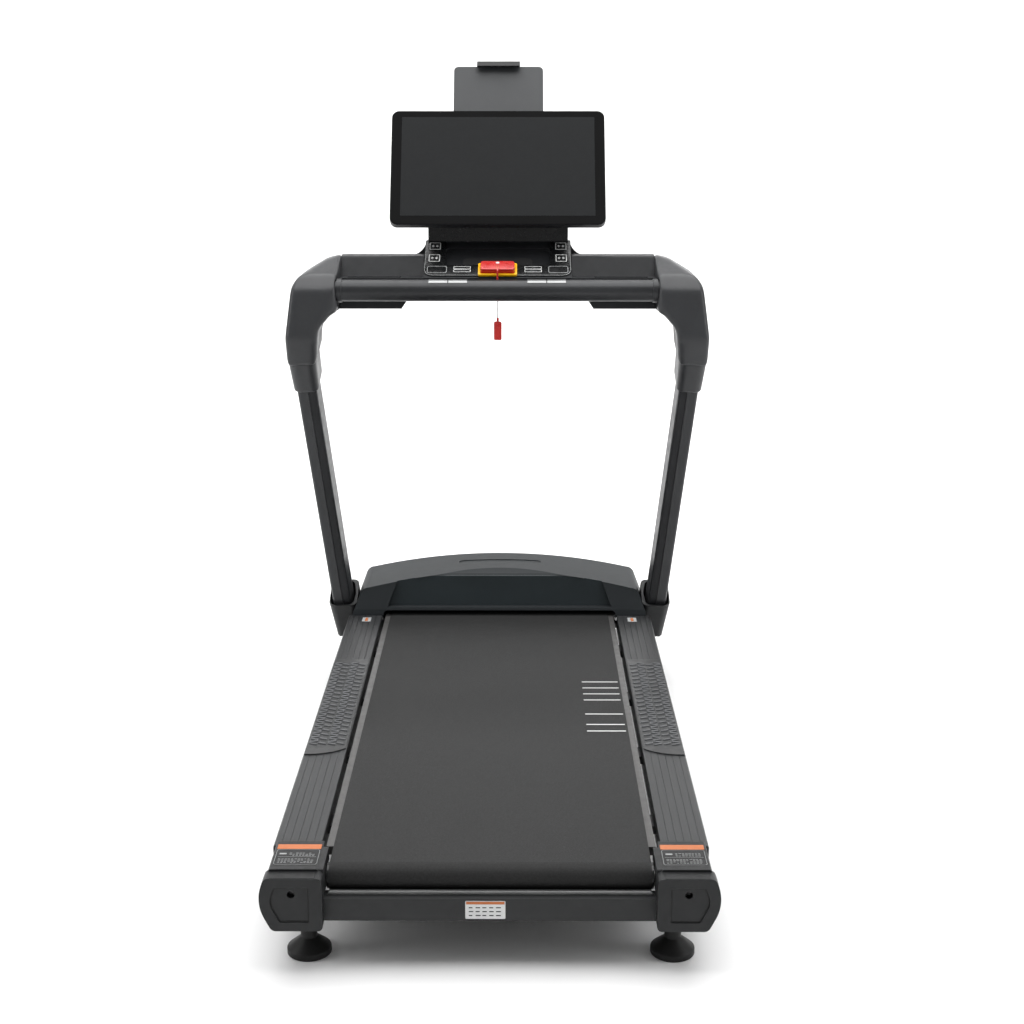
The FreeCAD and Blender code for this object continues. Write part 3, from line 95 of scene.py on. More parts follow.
# ---------------------------------------------------------------- materials
LOW, HIGH = 0.3, 0.7         # most of a noise lies between these
BEVEL_SAMPLES = 6
WEAVE_PITCH = 0.0022         # of the running belt, in metres


def srgb(text):
    """Linear colour from a hex string."""
    values = [int(text[i:i + 2], 16) / 255 for i in (0, 2, 4)]
    return tuple(v / 12.92 if v <= 0.04045 else ((v + 0.055) / 1.055) ** 2.4 for v in values)


class Graph:
    """Short hand for a material's node tree."""

    def __init__(self, name):
        self.material = bpy.data.materials.new(name)
        self.material.use_nodes = True
        self.tree = self.material.node_tree
        self.tree.nodes.clear()
        self.out = self.tree.nodes.new("ShaderNodeOutputMaterial")
        self.shader = self.tree.nodes.new("ShaderNodeBsdfPrincipled")
        self.tree.links.new(self.shader.outputs[0], self.out.inputs[0])
        self.place = self.tree.nodes.new("ShaderNodeTexCoord").outputs["Object"]

    def node(self, kind, inputs=(), **settings):
        """New node; inputs maps a socket's name or number to a value or to another socket."""
        made = self.tree.nodes.new("ShaderNode" + kind)
        for key, value in settings.items():
            setattr(made, key, value)
        for key, value in dict(inputs).items():
            if isinstance(value, bpy.types.NodeSocket):
                self.tree.links.new(value, made.inputs[key])
            else:
                made.inputs[key].default_value = value
        return made

    def link(self, source, socket):
        self.tree.links.new(source, self.shader.inputs[socket])

    def noise(self, scale, detail=4.0, stretch=None):
        """Noise between 0 and 1; scale is in features a metre, stretch scales each axis."""
        place = self.place
        if stretch:
            place = self.node("Mapping", {0: place, 3: stretch}).outputs[0]
        return self.node("TexNoise", {"Vector": place, "Scale": scale, "Detail": detail,
                                      "Roughness": 0.55}).outputs[0]

    def ramp(self, value, low, high, to_low=0.0, to_high=1.0):
        return self.node("MapRange", {0: value, 1: low, 2: high, 3: to_low, 4: to_high}).outputs[0]

    def maths(self, operation, a, b=0.0):
        return self.node("Math", {0: a, 1: b}, operation=operation).outputs[0]

    def mix(self, share, a, b):
        made = self.node("Mix", {}, data_type="RGBA")
        for index, value in ((0, share), (6, a), (7, b)):
            if isinstance(value, bpy.types.NodeSocket):
                self.tree.links.new(value, made.inputs[index])
            else:
                made.inputs[index].default_value = (*value, 1.0) if index else value
        return made.outputs[2]

    def bump(self, height, distance, strength=1.0, before=None):
        made = self.node("Bump", {"Height": height, "Distance": distance, "Strength": strength})
        if before:
            self.tree.links.new(before, made.inputs["Normal"])
        return made.outputs[0]

    def bands(self, axis, pitch, sharp=1.0):
        """Waves along one axis, between 0 and 1."""
        part = self.node("SeparateXYZ", {0: self.place}).outputs[axis]
        wave = self.maths("SINE", self.maths("MULTIPLY", part, 2 * math.pi / pitch))
        return self.ramp(wave, -sharp, sharp)


def shade(colour, amount):
    return tuple(min(1.0, c * amount) for c in colour)


def moulded(name, colour, rough=0.45, grain=0.6, grain_depth=0.00006, spread=0.16, metal=0.0, coat=0.0,
            edge=1.25, edge_width=0.0016, gloss=0.3, mottling=1.0):
    """Plastic, rubber or powder coat: fine grain, slow colour drift, lighter and softened edges."""
    g = Graph(name)
    drift = g.noise(7.0, 3.0)
    mottle = g.noise(160.0, 3.0)
    base = g.mix(g.ramp(drift, LOW, HIGH), shade(colour, 1 - spread), shade(colour, 1 + spread))
    base = g.mix(g.ramp(mottle, 0.35, 0.75, 0.0, 0.35), base, shade(colour, 1 + 0.22 * mottling))
    soft = g.node("Bevel", {"Radius": edge_width}, samples=BEVEL_SAMPLES).outputs[0]
    straight = g.node("NewGeometry").outputs["Normal"]
    facing = g.node("VectorMath", {0: soft, 1: straight}, operation="DOT_PRODUCT").outputs["Value"]
    # edges lighter, in noisy patches, where the softened normal turns from the true one
    edge_lightening = g.ramp(facing, 0.99, 0.80, 0.0, 1.0)
    patchy = g.ramp(g.noise(45.0, 4.0), 0.35, 0.65, 0.25, 1.0)
    base = g.mix(g.maths("MULTIPLY", edge_lightening, patchy), base, shade(colour, 1 + edge))
    g.link(base, "Base Color")
    smooth, dull = rough - 0.06 * mottling, rough + 0.08 * mottling
    g.link(g.ramp(g.noise(55.0, 5.0), LOW, HIGH, smooth, dull), "Roughness")
    cell = g.noise(2600.0 * grain, 2.0)
    g.link(g.bump(cell, grain_depth, 0.7, soft), "Normal")
    g.shader.inputs["Metallic"].default_value = metal
    g.shader.inputs["Specular IOR Level"].default_value = gloss
    g.shader.inputs["Coat Weight"].default_value = coat
    g.shader.inputs["Coat Roughness"].default_value = 0.2
    return g.material


def brushed(name, colour, axis=1, rough=0.34, metal=0.9, depth=0.00003):
    """Metal with fine lines drawn along one axis."""
    g = Graph(name)
    stretch = [900.0, 900.0, 900.0]
    stretch[axis] = 9.0
    lines = g.noise(1.0, 4.0, tuple(stretch))
    drift = g.noise(9.0, 3.0)
    base = g.mix(g.ramp(lines, LOW, HIGH), shade(colour, 0.82), shade(colour, 1.18))
    base = g.mix(g.ramp(drift, 0.35, 0.7, 0.0, 0.4), base, shade(colour, 0.85))
    g.link(base, "Base Color")
    g.link(g.ramp(lines, LOW, HIGH, rough - 0.07, rough + 0.1), "Roughness")
    soft = g.node("Bevel", {"Radius": 0.0012}, samples=BEVEL_SAMPLES).outputs[0]
    g.link(g.bump(lines, depth, 0.8, soft), "Normal")
    g.shader.inputs["Metallic"].default_value = metal
    return g.material


def belt_material(name, colour):
    """Fine woven PVC: crossed waves, a pebbled and flecked top coat, faint scuffs."""
    g = Graph(name)
    across = g.bands(0, WEAVE_PITCH)
    along = g.bands(1, WEAVE_PITCH)
    weave = g.maths("MULTIPLY", across, along)
    pebble = g.noise(900.0, 3.0)
    height = g.maths("ADD", g.maths("MULTIPLY", weave, 0.8), g.maths("MULTIPLY", pebble, 0.9))
    drift = g.noise(4.0, 4.0)
    scuff = g.ramp(g.noise(1.0, 6.0, (60.0, 9.0, 30.0)), 0.62, 0.78, 0.0, 0.5)
    base = g.mix(g.ramp(drift, LOW, HIGH), shade(colour, 0.88), shade(colour, 1.12))
    base = g.mix(g.ramp(pebble, 0.35, 0.7, 0.0, 0.6), base, shade(colour, 1.45))
    fleck = g.noise(330.0, 3.0)
    base = g.mix(g.ramp(fleck, 0.36, 0.66, 0.0, 0.75), base, shade(colour, 1.7))
    base = g.mix(scuff, base, shade(colour, 1.25))
    g.link(base, "Base Color")
    g.link(g.ramp(pebble, LOW, HIGH, 0.5, 0.7), "Roughness")
    g.link(g.bump(height, 0.00025, 0.8), "Normal")
    g.shader.inputs["Specular IOR Level"].default_value = 0.2
    return g.material


def board_material(name, colour):
    """Phenolic-faced board with faint long fibres."""
    g = Graph(name)
    fibres = g.noise(1.0, 5.0, (240.0, 8.0, 240.0))
    g.link(g.mix(g.ramp(fibres, LOW, HIGH), shade(colour, 0.85), shade(colour, 1.12)), "Base Color")
    g.link(g.ramp(g.noise(60.0), LOW, HIGH, 0.35, 0.5), "Roughness")
    g.link(g.bump(fibres, 0.00006, 0.5), "Normal")
    return g.material


def screen_material(name):
    """Black display glass with faint smears."""
    g = Graph(name)
    smear = g.noise(6.0, 5.0)
    g.link(g.mix(g.ramp(smear, LOW, HIGH), srgb("050505"), srgb("0a0a0b")), "Base Color")
    g.link(g.ramp(smear, 0.3, 0.75, 0.1, 0.2), "Roughness")
    g.link(g.bump(g.noise(3.0, 2.0), 0.0002, 0.15), "Normal")
    g.shader.inputs["Specular IOR Level"].default_value = 0.04
    return g.material


def woven(name, colour, pitch=0.0016, rough=0.7):
    """Braided cord or ribbon, or a diagonal texture on a plate."""
    g = Graph(name)
    parts = g.node("SeparateXYZ", {0: g.place}).outputs
    lean_a = g.maths("ADD", parts[0], parts[2])
    lean_b = g.maths("SUBTRACT", parts[0], parts[2])
    turn = 2 * math.pi / pitch
    wave_a = g.maths("SINE", g.maths("MULTIPLY", lean_a, turn))
    wave_b = g.maths("SINE", g.maths("MULTIPLY", lean_b, turn))
    height = g.ramp(g.maths("MULTIPLY", wave_a, wave_b), -1.0, 1.0)
    base = g.mix(height, shade(colour, 0.7), shade(colour, 1.3))
    base = g.mix(g.ramp(g.noise(30.0), 0.35, 0.7, 0.0, 0.4), base, shade(colour, 0.8))
    g.link(base, "Base Color")
    g.link(g.ramp(height, 0.0, 1.0, rough + 0.08, rough - 0.06), "Roughness")
    g.link(g.bump(height, 0.00015, 0.8), "Normal")
    return g.material


FINISH = {
    "frame_paint": moulded("frame_paint", srgb("222324"), rough=0.42, grain=0.35, grain_depth=0.00005),
    "upright_paint": moulded("upright_paint", srgb("2b2c2e"), rough=0.34, grain=0.5, metal=0.3,
                             gloss=0.45),
    "deck_wood": board_material("deck_wood", srgb("474645")),
    "cushion_rubber": moulded("cushion_rubber", srgb("1d1d1e"), rough=0.75, gloss=0.2),
    "belt_fabric": belt_material("belt_fabric", srgb("1d1d1d")),
    "rail_metal": brushed("rail_metal", srgb("3a3b3c"), rough=0.45, metal=0.5),
    "bright_metal": brushed("bright_metal", srgb("8e8f8f"), axis=0, rough=0.36, metal=1.0),
    "steel": brushed("steel", srgb("8d8d8e"), axis=0, rough=0.35),
    "grip_rubber": moulded("grip_rubber", srgb("212223"), rough=0.4, grain=0.4, gloss=0.5),
    "cap_plastic": moulded("cap_plastic", srgb("1d1e1f"), rough=0.45, grain=0.35, grain_depth=0.00008),
    "hood_plastic": moulded("hood_plastic", srgb("292c2e"), rough=0.5, grain=0.8, grain_depth=0.00001,
                            gloss=0.12, spread=0.02, edge=0.0, mottling=0.15),
    "panel_plastic": moulded("panel_plastic", srgb("21282b"), rough=0.38, grain=0.5, grain_depth=0.00002),
    "console_plastic": moulded("console_plastic", srgb("1e1f21"), rough=0.42, grain=0.4, gloss=0.2),
    "key_plastic": moulded("key_plastic", srgb("0e0f10"), rough=0.26, grain=0.8, gloss=0.4),
    "foot_rubber": moulded("foot_rubber", srgb("161616"), rough=0.5),
    "motor_paint": moulded("motor_paint", srgb("1b1c1d"), rough=0.3, coat=0.3),
    "glass": screen_material("glass"),
    "key_red": moulded("key_red", srgb("b92522"), rough=0.3, coat=0.4, spread=0.06, edge=0.15),
    "holder_yellow": moulded("holder_yellow", srgb("eeb60f"), rough=0.35, coat=0.3, spread=0.05,
                             edge=0.1),
    "cord_fabric": woven("cord_fabric", srgb("2c1b1a"), pitch=0.0012),
    "wheel_plastic": moulded("wheel_plastic", srgb("1a1a1b"), rough=0.5),
}
GRIP_FINISH = moulded("grip_moulding", srgb("2f3032"), rough=0.36, grain=0.4, grain_depth=0.00004,
                      gloss=0.4)
TREAD_FINISH = moulded("grip_tread", srgb("58595b"), rough=0.5, grain=0.4, edge=0.9, edge_width=0.001)
PRINT_WHITE = moulded("print_white", srgb("d2d3d2"), rough=0.55, spread=0.08, edge=0.0)
PRINT_GREY = moulded("print_grey", srgb("a6a8a8"), rough=0.55, spread=0.1, edge=0.0)
PRINT_ORANGE = moulded("print_orange", srgb("b96c42"), rough=0.5, spread=0.07, edge=0.0)
# dark print on labels, also laid on the cap ledges as painted shade
DARK_PRINT_AND_SHADE = moulded("dark_print_and_shade", srgb("161718"), rough=0.45, edge=0.0)
SCREEN_AREA = moulded("screen_area", srgb("1f2021"), rough=0.35, grain=1.0, grain_depth=0.00001,
                      edge=0.0, spread=0.02, gloss=0.06)
TABLET_FACE = woven("tablet_face", srgb("2d2f31"), pitch=0.0028, rough=0.5)

slot_of = {row["node"]: row["material_slot"] for row in frame["record"]["subparts"]}


def dress(obj, material):
    """Give an object one material."""
    obj.data.materials.clear()
    obj.data.materials.append(material)


for name, node in nodes.items():
    dress(node, FINISH[slot_of[name]])
dress(nodes["tablet_plate"], TABLET_FACE)
dress(nodes["monitor_neck"], FINISH["key_plastic"])
for name in ("front_roller", "rear_roller"):
    dress(nodes[name], FINISH["motor_paint"])
dress(lanyard, FINISH["cord_fabric"])


# ---------------------------------------------------------------- making pieces
def add(name, bm, material, body, smooth=False):
    """Turn a bmesh into a piece that rides on a body."""
    mesh = bpy.data.meshes.new(name)
    bmesh.ops.recalc_face_normals(bm, faces=bm.faces)
    bm.to_mesh(mesh)
    bm.free()
    for polygon in mesh.polygons:
        polygon.use_smooth = smooth
    piece = bpy.data.objects.new(name, mesh)
    scene.collection.objects.link(piece)
    dress(piece, material)
    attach(piece, body)
    return piece


def softened(node, voxel, passes, body, inflate):
    """Soft-edged moulding that stands for a CAD node: remeshed, relaxed, then let out again."""
    source = nodes[node]
    piece = bpy.data.objects.new(node + "_moulding", source.data.copy())
    scene.collection.objects.link(piece)
    remesh = piece.modifiers.new("remesh", "REMESH")
    remesh.mode = "VOXEL"
    remesh.voxel_size = voxel
    relax = piece.modifiers.new("relax", "SMOOTH")
    relax.factor = 0.5
    relax.iterations = passes
    graph = bpy.context.evaluated_depsgraph_get()
    made = bpy.data.meshes.new_from_object(piece.evaluated_get(graph))
    piece.modifiers.clear()
    piece.data = made
    normals = [vertex.normal.copy() for vertex in made.vertices]
    for vertex, normal in zip(made.vertices, normals):
        vertex.co += normal * inflate
    for polygon in made.polygons:
        polygon.use_smooth = True
    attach(piece, body)
    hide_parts(node)
    return piece


def block(bm, low, high, place, bevel=0.0):
    """Box between two corners in a local frame, with optional small bevels."""
    made = bmesh.ops.create_cube(bm, size=1.0)["verts"]
    size = [high[i] - low[i] for i in range(3)]
    middle = [(high[i] + low[i]) / 2 for i in range(3)]
    bmesh.ops.scale(bm, vec=size, verts=made)
    bmesh.ops.translate(bm, vec=middle, verts=made)
    if bevel:
        edges = list({edge for vertex in made for edge in vertex.link_edges})
        made = bmesh.ops.bevel(bm, geom=edges, offset=bevel, segments=1, affect="EDGES")["verts"]
    bmesh.ops.transform(bm, matrix=place, verts=made)


def rounded(half_x, half_y, radius, steps=5):
    """Points round a rounded rectangle."""
    points = []
    for sx, sy, turn in ((1, 1, 0), (-1, 1, 90), (-1, -1, 180), (1, -1, 270)):
        for step in range(steps + 1):
            angle = math.radians(turn + 90 * step / steps)
            points.append((sx * (half_x - radius) + radius * math.cos(angle),
                           sy * (half_y - radius) + radius * math.sin(angle)))
    return points


def ring(bm, place, outer, inner, low, high):
    """Flat frame between two loops of points with the same count."""
    loops = [[bm.verts.new(place @ Vector((x, y, z))) for x, y in points]
             for points, z in ((outer, low), (outer, high), (inner, high), (inner, low))]
    count = len(outer)
    for a, b in ((0, 1), (1, 2), (2, 3), (3, 0)):
        for index in range(count):
            following = (index + 1) % count
            bm.faces.new((loops[a][index], loops[a][following], loops[b][following], loops[b][index]))


def plate(bm, place, points, low, high):
    """Thin plate with a given outline."""
    bottom = [bm.verts.new(place @ Vector((x, y, low))) for x, y in points]
    top = [bm.verts.new(place @ Vector((x, y, high))) for x, y in points]
    bm.faces.new(bottom[::-1])
    bm.faces.new(top)
    count = len(points)
    for index in range(count):
        following = (index + 1) % count
        bm.faces.new((bottom[index], bottom[following], top[following], top[index]))


# ---------------------------------------------------------------- soft-edged mouldings
for side in ("left", "right"):
    grip = softened("grip_" + side, voxel=0.0028, passes=70, body="frame", inflate=0.0018)
    dress(grip, GRIP_FINISH)
collars = softened("grip_collars", voxel=0.0022, passes=14, body="frame", inflate=0.0006)
dress(collars, GRIP_FINISH)


# ---------------------------------------------------------------- printed and moulded detail
PRINT = 0.00025              # thickness of a print, in metres
STRIPES_Y = (0.016, -0.022, -0.059, -0.096, -0.179, -0.238, -0.274)
STRIPE_X = (0.190, 0.270)
STRIPE_HALF = 0.0022
belt_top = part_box("running_belt")[1].z

stripes = bmesh.new()
for y in STRIPES_Y:
    block(stripes, (STRIPE_X[0], y - STRIPE_HALF, belt_top - 0.0005),
          (STRIPE_X[1], y + STRIPE_HALF, belt_top + PRINT), Matrix())
add("belt_stripes", stripes, PRINT_WHITE, "frame")

tread = bmesh.new()
pad_low, pad_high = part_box("foot_grips")
rail_low, rail_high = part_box("side_rail_right")
TREAD_COLUMNS, TREAD_ROWS = 2, 21
TREAD_START = (0.024, 0.054)     # first figure, from the rail's inner side and the pad's rear end
TREAD_PITCH = (0.037, 0.0235)
TREAD_BARS = ((-0.0085, 0.0, 22), (0.0085, 0.009, -22), (0.0085, -0.003, 22))    # across, along, lean
TREAD_LOW, TREAD_HIGH = (-0.0088, -0.0024, -0.0008), (0.0088, 0.0024, 0.0019)
for side in (-1, 1):
    for column in range(TREAD_COLUMNS):
        for row in range(TREAD_ROWS):
            x = rail_low.x + TREAD_START[0] + TREAD_PITCH[0] * column
            y = pad_low.y + TREAD_START[1] + TREAD_PITCH[1] * row
            for dx, dy, lean in TREAD_BARS:
                turn = Matrix.Rotation(math.radians(lean * side), 4, "Z")
                place = Matrix.Translation((side * (x + dx), y + dy, pad_high.z)) @ turn
                block(tread, TREAD_LOW, TREAD_HIGH, place, 0.0009)
add("grip_tread", tread, TREAD_FINISH, "frame")

# keypad: outlines, glyph bars and corner fields, printed on the slope
KEYPAD_PLACE, KEYPAD_TILT = (0, 0.260, 1.0555), math.radians(26.9)
KEY_TOP = 0.0006             # keys above the keypad's face
slope = Matrix.Translation(KEYPAD_PLACE) @ Matrix.Rotation(KEYPAD_TILT, 4, "X")
KEY_SPOTS = {                # middle across and up the slope, half width, half height
    "key_left_upper": (-0.145, 0.123, 0.014, 0.016), "key_left_lower": (-0.145, 0.072, 0.014, 0.016),
    "key_right_upper": (0.145, 0.123, 0.014, 0.016), "key_right_lower": (0.145, 0.072, 0.014, 0.016),
    "key_left_bar": (-0.0805, 0.025, 0.0215, 0.014), "key_right_bar": (0.0805, 0.025, 0.0215, 0.014),
}
for name, (x, y, half_x, half_y) in KEY_SPOTS.items():
    place = slope @ Matrix.Translation((x, y, 0))
    print_mesh = bmesh.new()
    if name.endswith("bar"):
        for offset in (-0.0063, 0.0063):
            shift = place @ Matrix.Translation((0, offset, 0))
            ring(print_mesh, shift, rounded(half_x - 0.002, 0.0052, 0.0012),
                 rounded(half_x - 0.0036, 0.0036, 0.0008), KEY_TOP, KEY_TOP + PRINT)
    else:
        ring(print_mesh, place, rounded(half_x - 0.0012, half_y - 0.0012, 0.0022),
             rounded(half_x - 0.0030, half_y - 0.0030, 0.0014), KEY_TOP, KEY_TOP + PRINT)
        for offset in (-0.0048, 0.0048):
            shift = place @ Matrix.Translation((offset, 0, 0))
            for half_wide, half_tall in ((0.0030, 0.0014), (0.0012, 0.0042)):
                block(print_mesh, (-half_wide, -half_tall, KEY_TOP),
                      (half_wide, half_tall, KEY_TOP + PRINT), shift)
    add(name + "_print", print_mesh, PRINT_WHITE, name)

FIELD_PLACE = (0.1375, 0.025)
outlines = bmesh.new()
for side in (-1, 1):
    place = slope @ Matrix.Translation((side * FIELD_PLACE[0], FIELD_PLACE[1], 0))
    ring(outlines, place, rounded(0.0225, 0.014, 0.006), rounded(0.0211, 0.0126, 0.0048), 0.0, PRINT)
add("keypad_fields", outlines, PRINT_GREY, "frame")

RIM_POINTS = [(-0.1655, 0.140), (-0.1655, 0.022), (-0.1615, 0.0095), (-0.1545, 0.0035), (-0.145, 0.0016),
              (0.145, 0.0016), (0.1545, 0.0035), (0.1615, 0.0095), (0.1655, 0.022), (0.1655, 0.140)]
RIM_HALF = 0.0005
rim = bmesh.new()
for (x0, y0), (x1, y1) in zip(RIM_POINTS, RIM_POINTS[1:]):
    run = math.hypot(x1 - x0, y1 - y0)
    turn = Matrix.Rotation(math.atan2(y1 - y0, x1 - x0), 4, "Z")
    place = slope @ Matrix.Translation((x0, y0, 0)) @ turn
    block(rim, (0, -RIM_HALF, 0), (run, RIM_HALF, PRINT), place)
add("keypad_rim", rim, PRINT_GREY, "frame")

# safety key: white dot, moulded ribs and the orange strap down its front
DOT_RADIUS, DOT_SIDES = 0.0042, 24
DOT_PLACE = (0.0, 0.0295, 0.0149)
dot = bmesh.new()
angles = [math.radians(360 / DOT_SIDES * index) for index in range(DOT_SIDES)]
disc = [(DOT_RADIUS * math.cos(angle), DOT_RADIUS * math.sin(angle)) for angle in angles]
plate(dot, slope @ Matrix.Translation(DOT_PLACE), disc, 0.0, 0.0004)
add("safety_key_dot", dot, PRINT_WHITE, "safety_key")
RIB_COUNT, RIB_START, RIB_PITCH, RIB_HALF = 4, 0.018, 0.0042, 0.0008
ribs = bmesh.new()
for side in (-1, 1):
    for index in range(RIB_COUNT):
        x = side * (RIB_START + RIB_PITCH * index)
        block(ribs, (x - RIB_HALF, 0.0085, 0.0146), (x + RIB_HALF, 0.0305, 0.0156), slope, 0.0003)
add("safety_key_ribs", ribs, FINISH["key_red"], "safety_key")
strap = bmesh.new()
block(strap, (-0.0032, 0.0040, 0.0142), (0.0032, 0.0185, 0.0156), slope, 0.0004)
add("safety_key_strap", strap, PRINT_ORANGE, "safety_key")

# display: the active area inside the dark border
SCREEN_FOOT, SCREEN_TILT = (0, 0.314, 1.1655), math.radians(60)
SCREEN_MIDDLE = 0.146        # up the glass from its foot
screen = Matrix.Translation(SCREEN_FOOT) @ Matrix.Rotation(SCREEN_TILT, 4, "X")
area = bmesh.new()
middle = screen @ Matrix.Translation((0, SCREEN_MIDDLE, 0))
plate(area, middle, rounded(0.2225, 0.125, 0.001), 0.0, 0.0002)
add("screen_area", area, SCREEN_AREA, "frame")

# end caps: label with rows of dashes, dark sheet painted as shade on the ledge and riser, dark ring painted
# as shade round the recess, orange band
CAP_INSET_Y = -0.9375        # floor of the recess
CAP_INSET = [(0.303, 0.100), (0.353, 0.100), (0.3653, 0.1246), (0.3685, 0.136), (0.3667, 0.1481),
             (0.361, 0.164), (0.303, 0.164)]
CAP_INSET_INNER = [(0.3052, 0.1022), (0.3517, 0.1022), (0.3632, 0.1254), (0.3662, 0.136),
                   (0.3645, 0.1475), (0.3593, 0.1618), (0.3052, 0.1618)]
CAP_MIDDLE = 0.331
LABEL_Y = -0.8665
MARK_LOW, MARK_HIGH = 0.0001, 0.0004         # bottom and top of a print on a label
DASH_FIELDS = ((-0.031, -0.8885, 4, 11), (-0.014, -0.8620, 3, 8))    # first x, first y, rows, columns
DASH_PITCH = (0.0056, 0.0045)
DASH_GAPS = 0.12             # share of the dashes that are left out


def dashes(bm, place):
    """Rows of dashes of uneven length, with gaps, where a label has its text."""
    for x0, y0, rows, columns in DASH_FIELDS:
        for row in range(rows):
            for column in range(columns):
                if rng.random() < DASH_GAPS:
                    continue
                x = x0 + DASH_PITCH[0] * column
                y = y0 + DASH_PITCH[1] * row
                end = x + 0.0032 + 0.0015 * rng.random()
                block(bm, (x, y, MARK_LOW), (end, y + 0.0014, MARK_HIGH), place)


cap_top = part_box("rear_cap_right")[1].z
for side, name in ((-1, "left"), (1, "right")):
    flat = Matrix.Translation((side * CAP_MIDDLE, 0, cap_top))
    label_middle = flat @ Matrix.Translation((0, LABEL_Y, 0))
    label = bmesh.new()
    plate(label, label_middle, rounded(0.037, 0.0285, 0.005), -0.0001, 0.00015)
    add("cap_label_" + name, label, DARK_PRINT_AND_SHADE, "frame")
    marks = bmesh.new()
    ring(marks, label_middle, rounded(0.037, 0.0285, 0.005), rounded(0.0362, 0.0277, 0.0043),
         MARK_LOW, MARK_HIGH)
    block(marks, (-0.033, LABEL_Y, MARK_LOW), (0.033, LABEL_Y + 0.0008, MARK_HIGH), flat)
    dashes(marks, flat)
    plate(marks, flat @ Matrix.Translation((-0.025, -0.8545, 0)), rounded(0.006, 0.0024, 0.001),
          MARK_LOW, MARK_HIGH)
    add("cap_label_print_" + name, marks, PRINT_GREY, "frame")
    # dark strips painted as the shade on the ledge and riser in front of the label
    ledge_shade = bmesh.new()
    block(ledge_shade, (-0.0385, -0.9115, -0.0041), (0.0385, -0.9101, -0.0003), flat, 0.0004)
    block(ledge_shade, (-0.0385, -0.9380, -0.0040), (0.0385, -0.9105, -0.0036), flat)
    add("cap_ledge_shade_" + name, ledge_shade, DARK_PRINT_AND_SHADE, "frame")
    # dark ring painted round the recess's edge as the shade of a deeper recess
    recess_shade = bmesh.new()
    face = Matrix.Translation((0, CAP_INSET_Y, 0)) @ Matrix.Rotation(math.radians(90), 4, "X")
    outer = [(side * x, z) for x, z in CAP_INSET]
    inner = [(side * x, z) for x, z in CAP_INSET_INNER]
    ring(recess_shade, face, outer, inner, -0.0002, 0.0004)
    add("cap_recess_shade_" + name, recess_shade, FINISH["foot_rubber"], "frame")
    band = bmesh.new()
    band_middle = flat @ Matrix.Translation((0, -0.8275, 0))
    plate(band, band_middle, rounded(0.038, 0.009, 0.0015), -0.0001, 0.0003)
    add("cap_band_" + name, band, PRINT_ORANGE, "frame")

# plate on the crossbar, with dashes in place of its text
PLATE_X = -0.008
bar_low, bar_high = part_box("rear_crossbar")
rear = Matrix.Translation((0, bar_low.y, 0)) @ Matrix.Rotation(math.radians(90), 4, "X")
middle_z = (bar_low.z + bar_high.z) / 2
badge = bmesh.new()
plate(badge, rear @ Matrix.Translation((PLATE_X, middle_z, 0)), rounded(0.034, 0.0165, 0.002),
      -0.0002, 0.0006)
add("crossbar_plate", badge, PRINT_WHITE, "frame")
badge_marks = bmesh.new()
for row in range(3):
    for column in range(5):
        x = -0.036 + 0.0115 * column
        y = middle_z - 0.011 + 0.0072 * row
        length = 0.006 + 0.003 * rng.random()
        block(badge_marks, (x, y, 0.0005), (x + length, y + 0.0018, 0.0008), rear)
add("crossbar_plate_print", badge_marks, DARK_PRINT_AND_SHADE, "frame")
badge_band = bmesh.new()
block(badge_band, (-0.0405, middle_z + 0.0105, 0.0004), (0.0245, middle_z + 0.0155, 0.0009), rear)
add("crossbar_plate_band", badge_band, PRINT_ORANGE, "frame")

# small stickers on the rails by the hood
stickers = bmesh.new()
sticker_bands = bmesh.new()
for side in (-1, 1):
    flat = Matrix.Translation((side * 0.333, 0.463, rail_high.z))
    plate(stickers, flat, rounded(0.011, 0.016, 0.0015), -0.0001, 0.0003)
    block(sticker_bands, (-0.0035, -0.013, 0.0002), (0.0035, 0.013, 0.0005), flat)
add("rail_stickers", stickers, PRINT_GREY, "frame")
add("rail_sticker_bands", sticker_bands, PRINT_ORANGE, "frame")


# ---------------------------------------------------------------- floor and light
FLOOR_NEAR, FLOOR_FAR, FLOOR_HALF = -9.0, 4.5, 14.0
COVE_RADIUS, COVE_STEPS, BACKDROP_TOP = 3.0, 12, 12.0


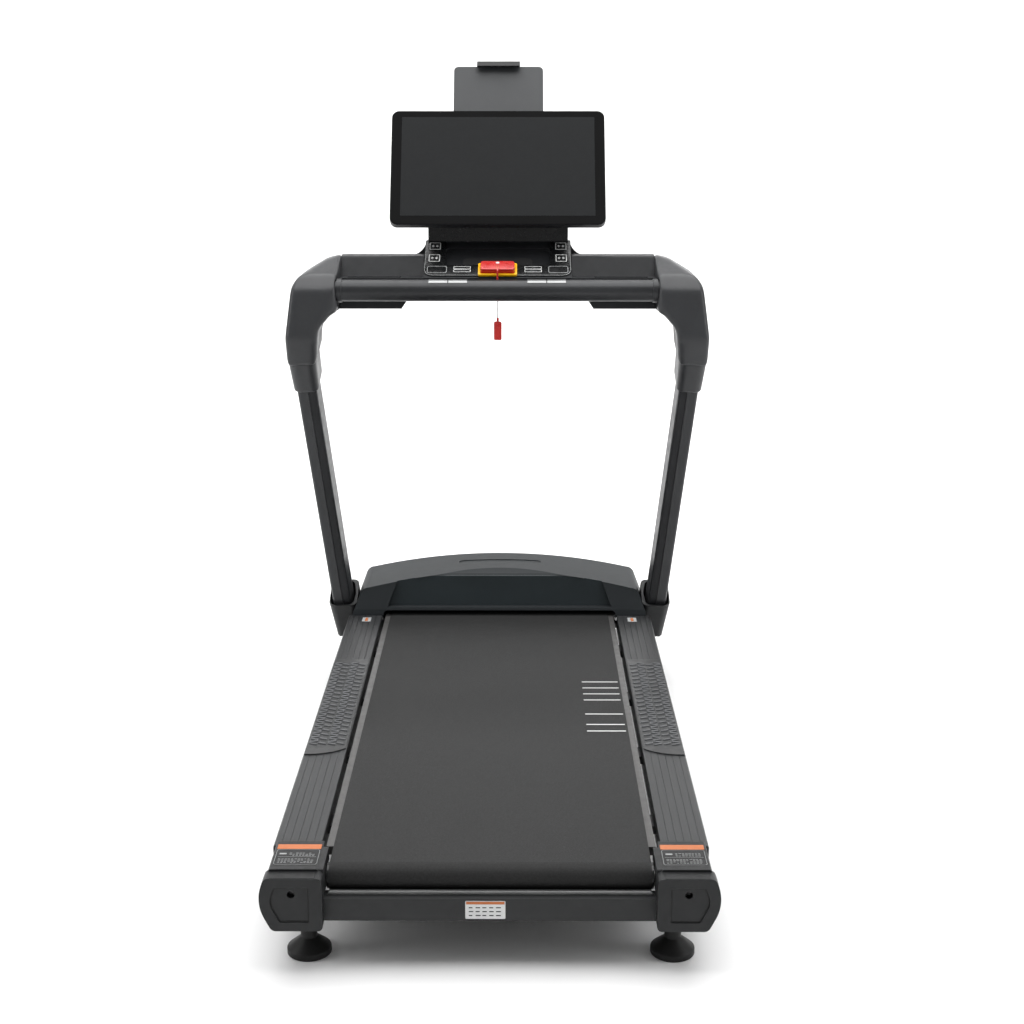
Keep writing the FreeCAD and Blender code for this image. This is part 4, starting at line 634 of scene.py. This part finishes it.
def finish_floor():
    """Floor that curves up into a backdrop."""
    mesh = bpy.data.meshes.new("floor")
    bm = bmesh.new()
    profile = [(FLOOR_NEAR, 0.0), (FLOOR_FAR, 0.0)]
    for step in range(1, COVE_STEPS + 1):
        angle = math.radians(90 * step / COVE_STEPS)
        profile.append((FLOOR_FAR + COVE_RADIUS * math.sin(angle), COVE_RADIUS * (1 - math.cos(angle))))
    profile.append((FLOOR_FAR + COVE_RADIUS, BACKDROP_TOP))
    rows = [[bm.verts.new((x, y, z)) for y, z in profile] for x in (-FLOOR_HALF, FLOOR_HALF)]
    for index in range(len(profile) - 1):
        bm.faces.new((rows[0][index], rows[1][index], rows[1][index + 1], rows[0][index + 1]))
    bm.to_mesh(mesh)
    bm.free()
    for polygon in mesh.polygons:
        polygon.use_smooth = True
    floor = bpy.data.objects.new("floor", mesh)
    g = Graph("floor")
    g.link(g.mix(g.noise(1.2, 2.0), (0.86, 0.86, 0.86), (0.9, 0.9, 0.9)), "Base Color")
    g.shader.inputs["Roughness"].default_value = 0.9
    g.shader.inputs["Specular IOR Level"].default_value = 0.1
    dress(floor, g.material)
    scene.collection.objects.link(floor)


def soft_light(name, place, target, size, power):
    """Rectangular light that faces a target."""
    data = bpy.data.lights.new(name, "AREA")
    data.shape = "RECTANGLE"
    data.size, data.size_y = size
    data.energy = power
    light = bpy.data.objects.new(name, data)
    light.location = place
    light.rotation_euler = (Vector(target) - Vector(place)).to_track_quat("-Z", "Y").to_euler()
    scene.collection.objects.link(light)


finish_floor()
soft_light("overhead", (0.0, -0.2, 4.2), (0.0, 0.0, 0.0), (5.0, 4.0), 215.0)
soft_light("left", (-3.4, -1.2, 1.9), (0.0, 0.0, 0.7), (1.2, 2.6), 40.0)
soft_light("right", (3.4, -1.2, 1.9), (0.0, 0.0, 0.7), (1.2, 2.6), 40.0)
soft_light("backdrop", (0.0, 2.6, 5.2), (0.0, 7.2, 1.2), (12.0, 2.5), 620.0)
WORLD_STRENGTH = 0.35
world = bpy.data.worlds.new("studio")
world.use_nodes = True
background = world.node_tree.nodes["Background"]
background.inputs["Color"].default_value = (1.0, 1.0, 1.0, 1.0)
background.inputs["Strength"].default_value = WORLD_STRENGTH
scene.world = world
scene.view_settings.view_transform = "Standard"
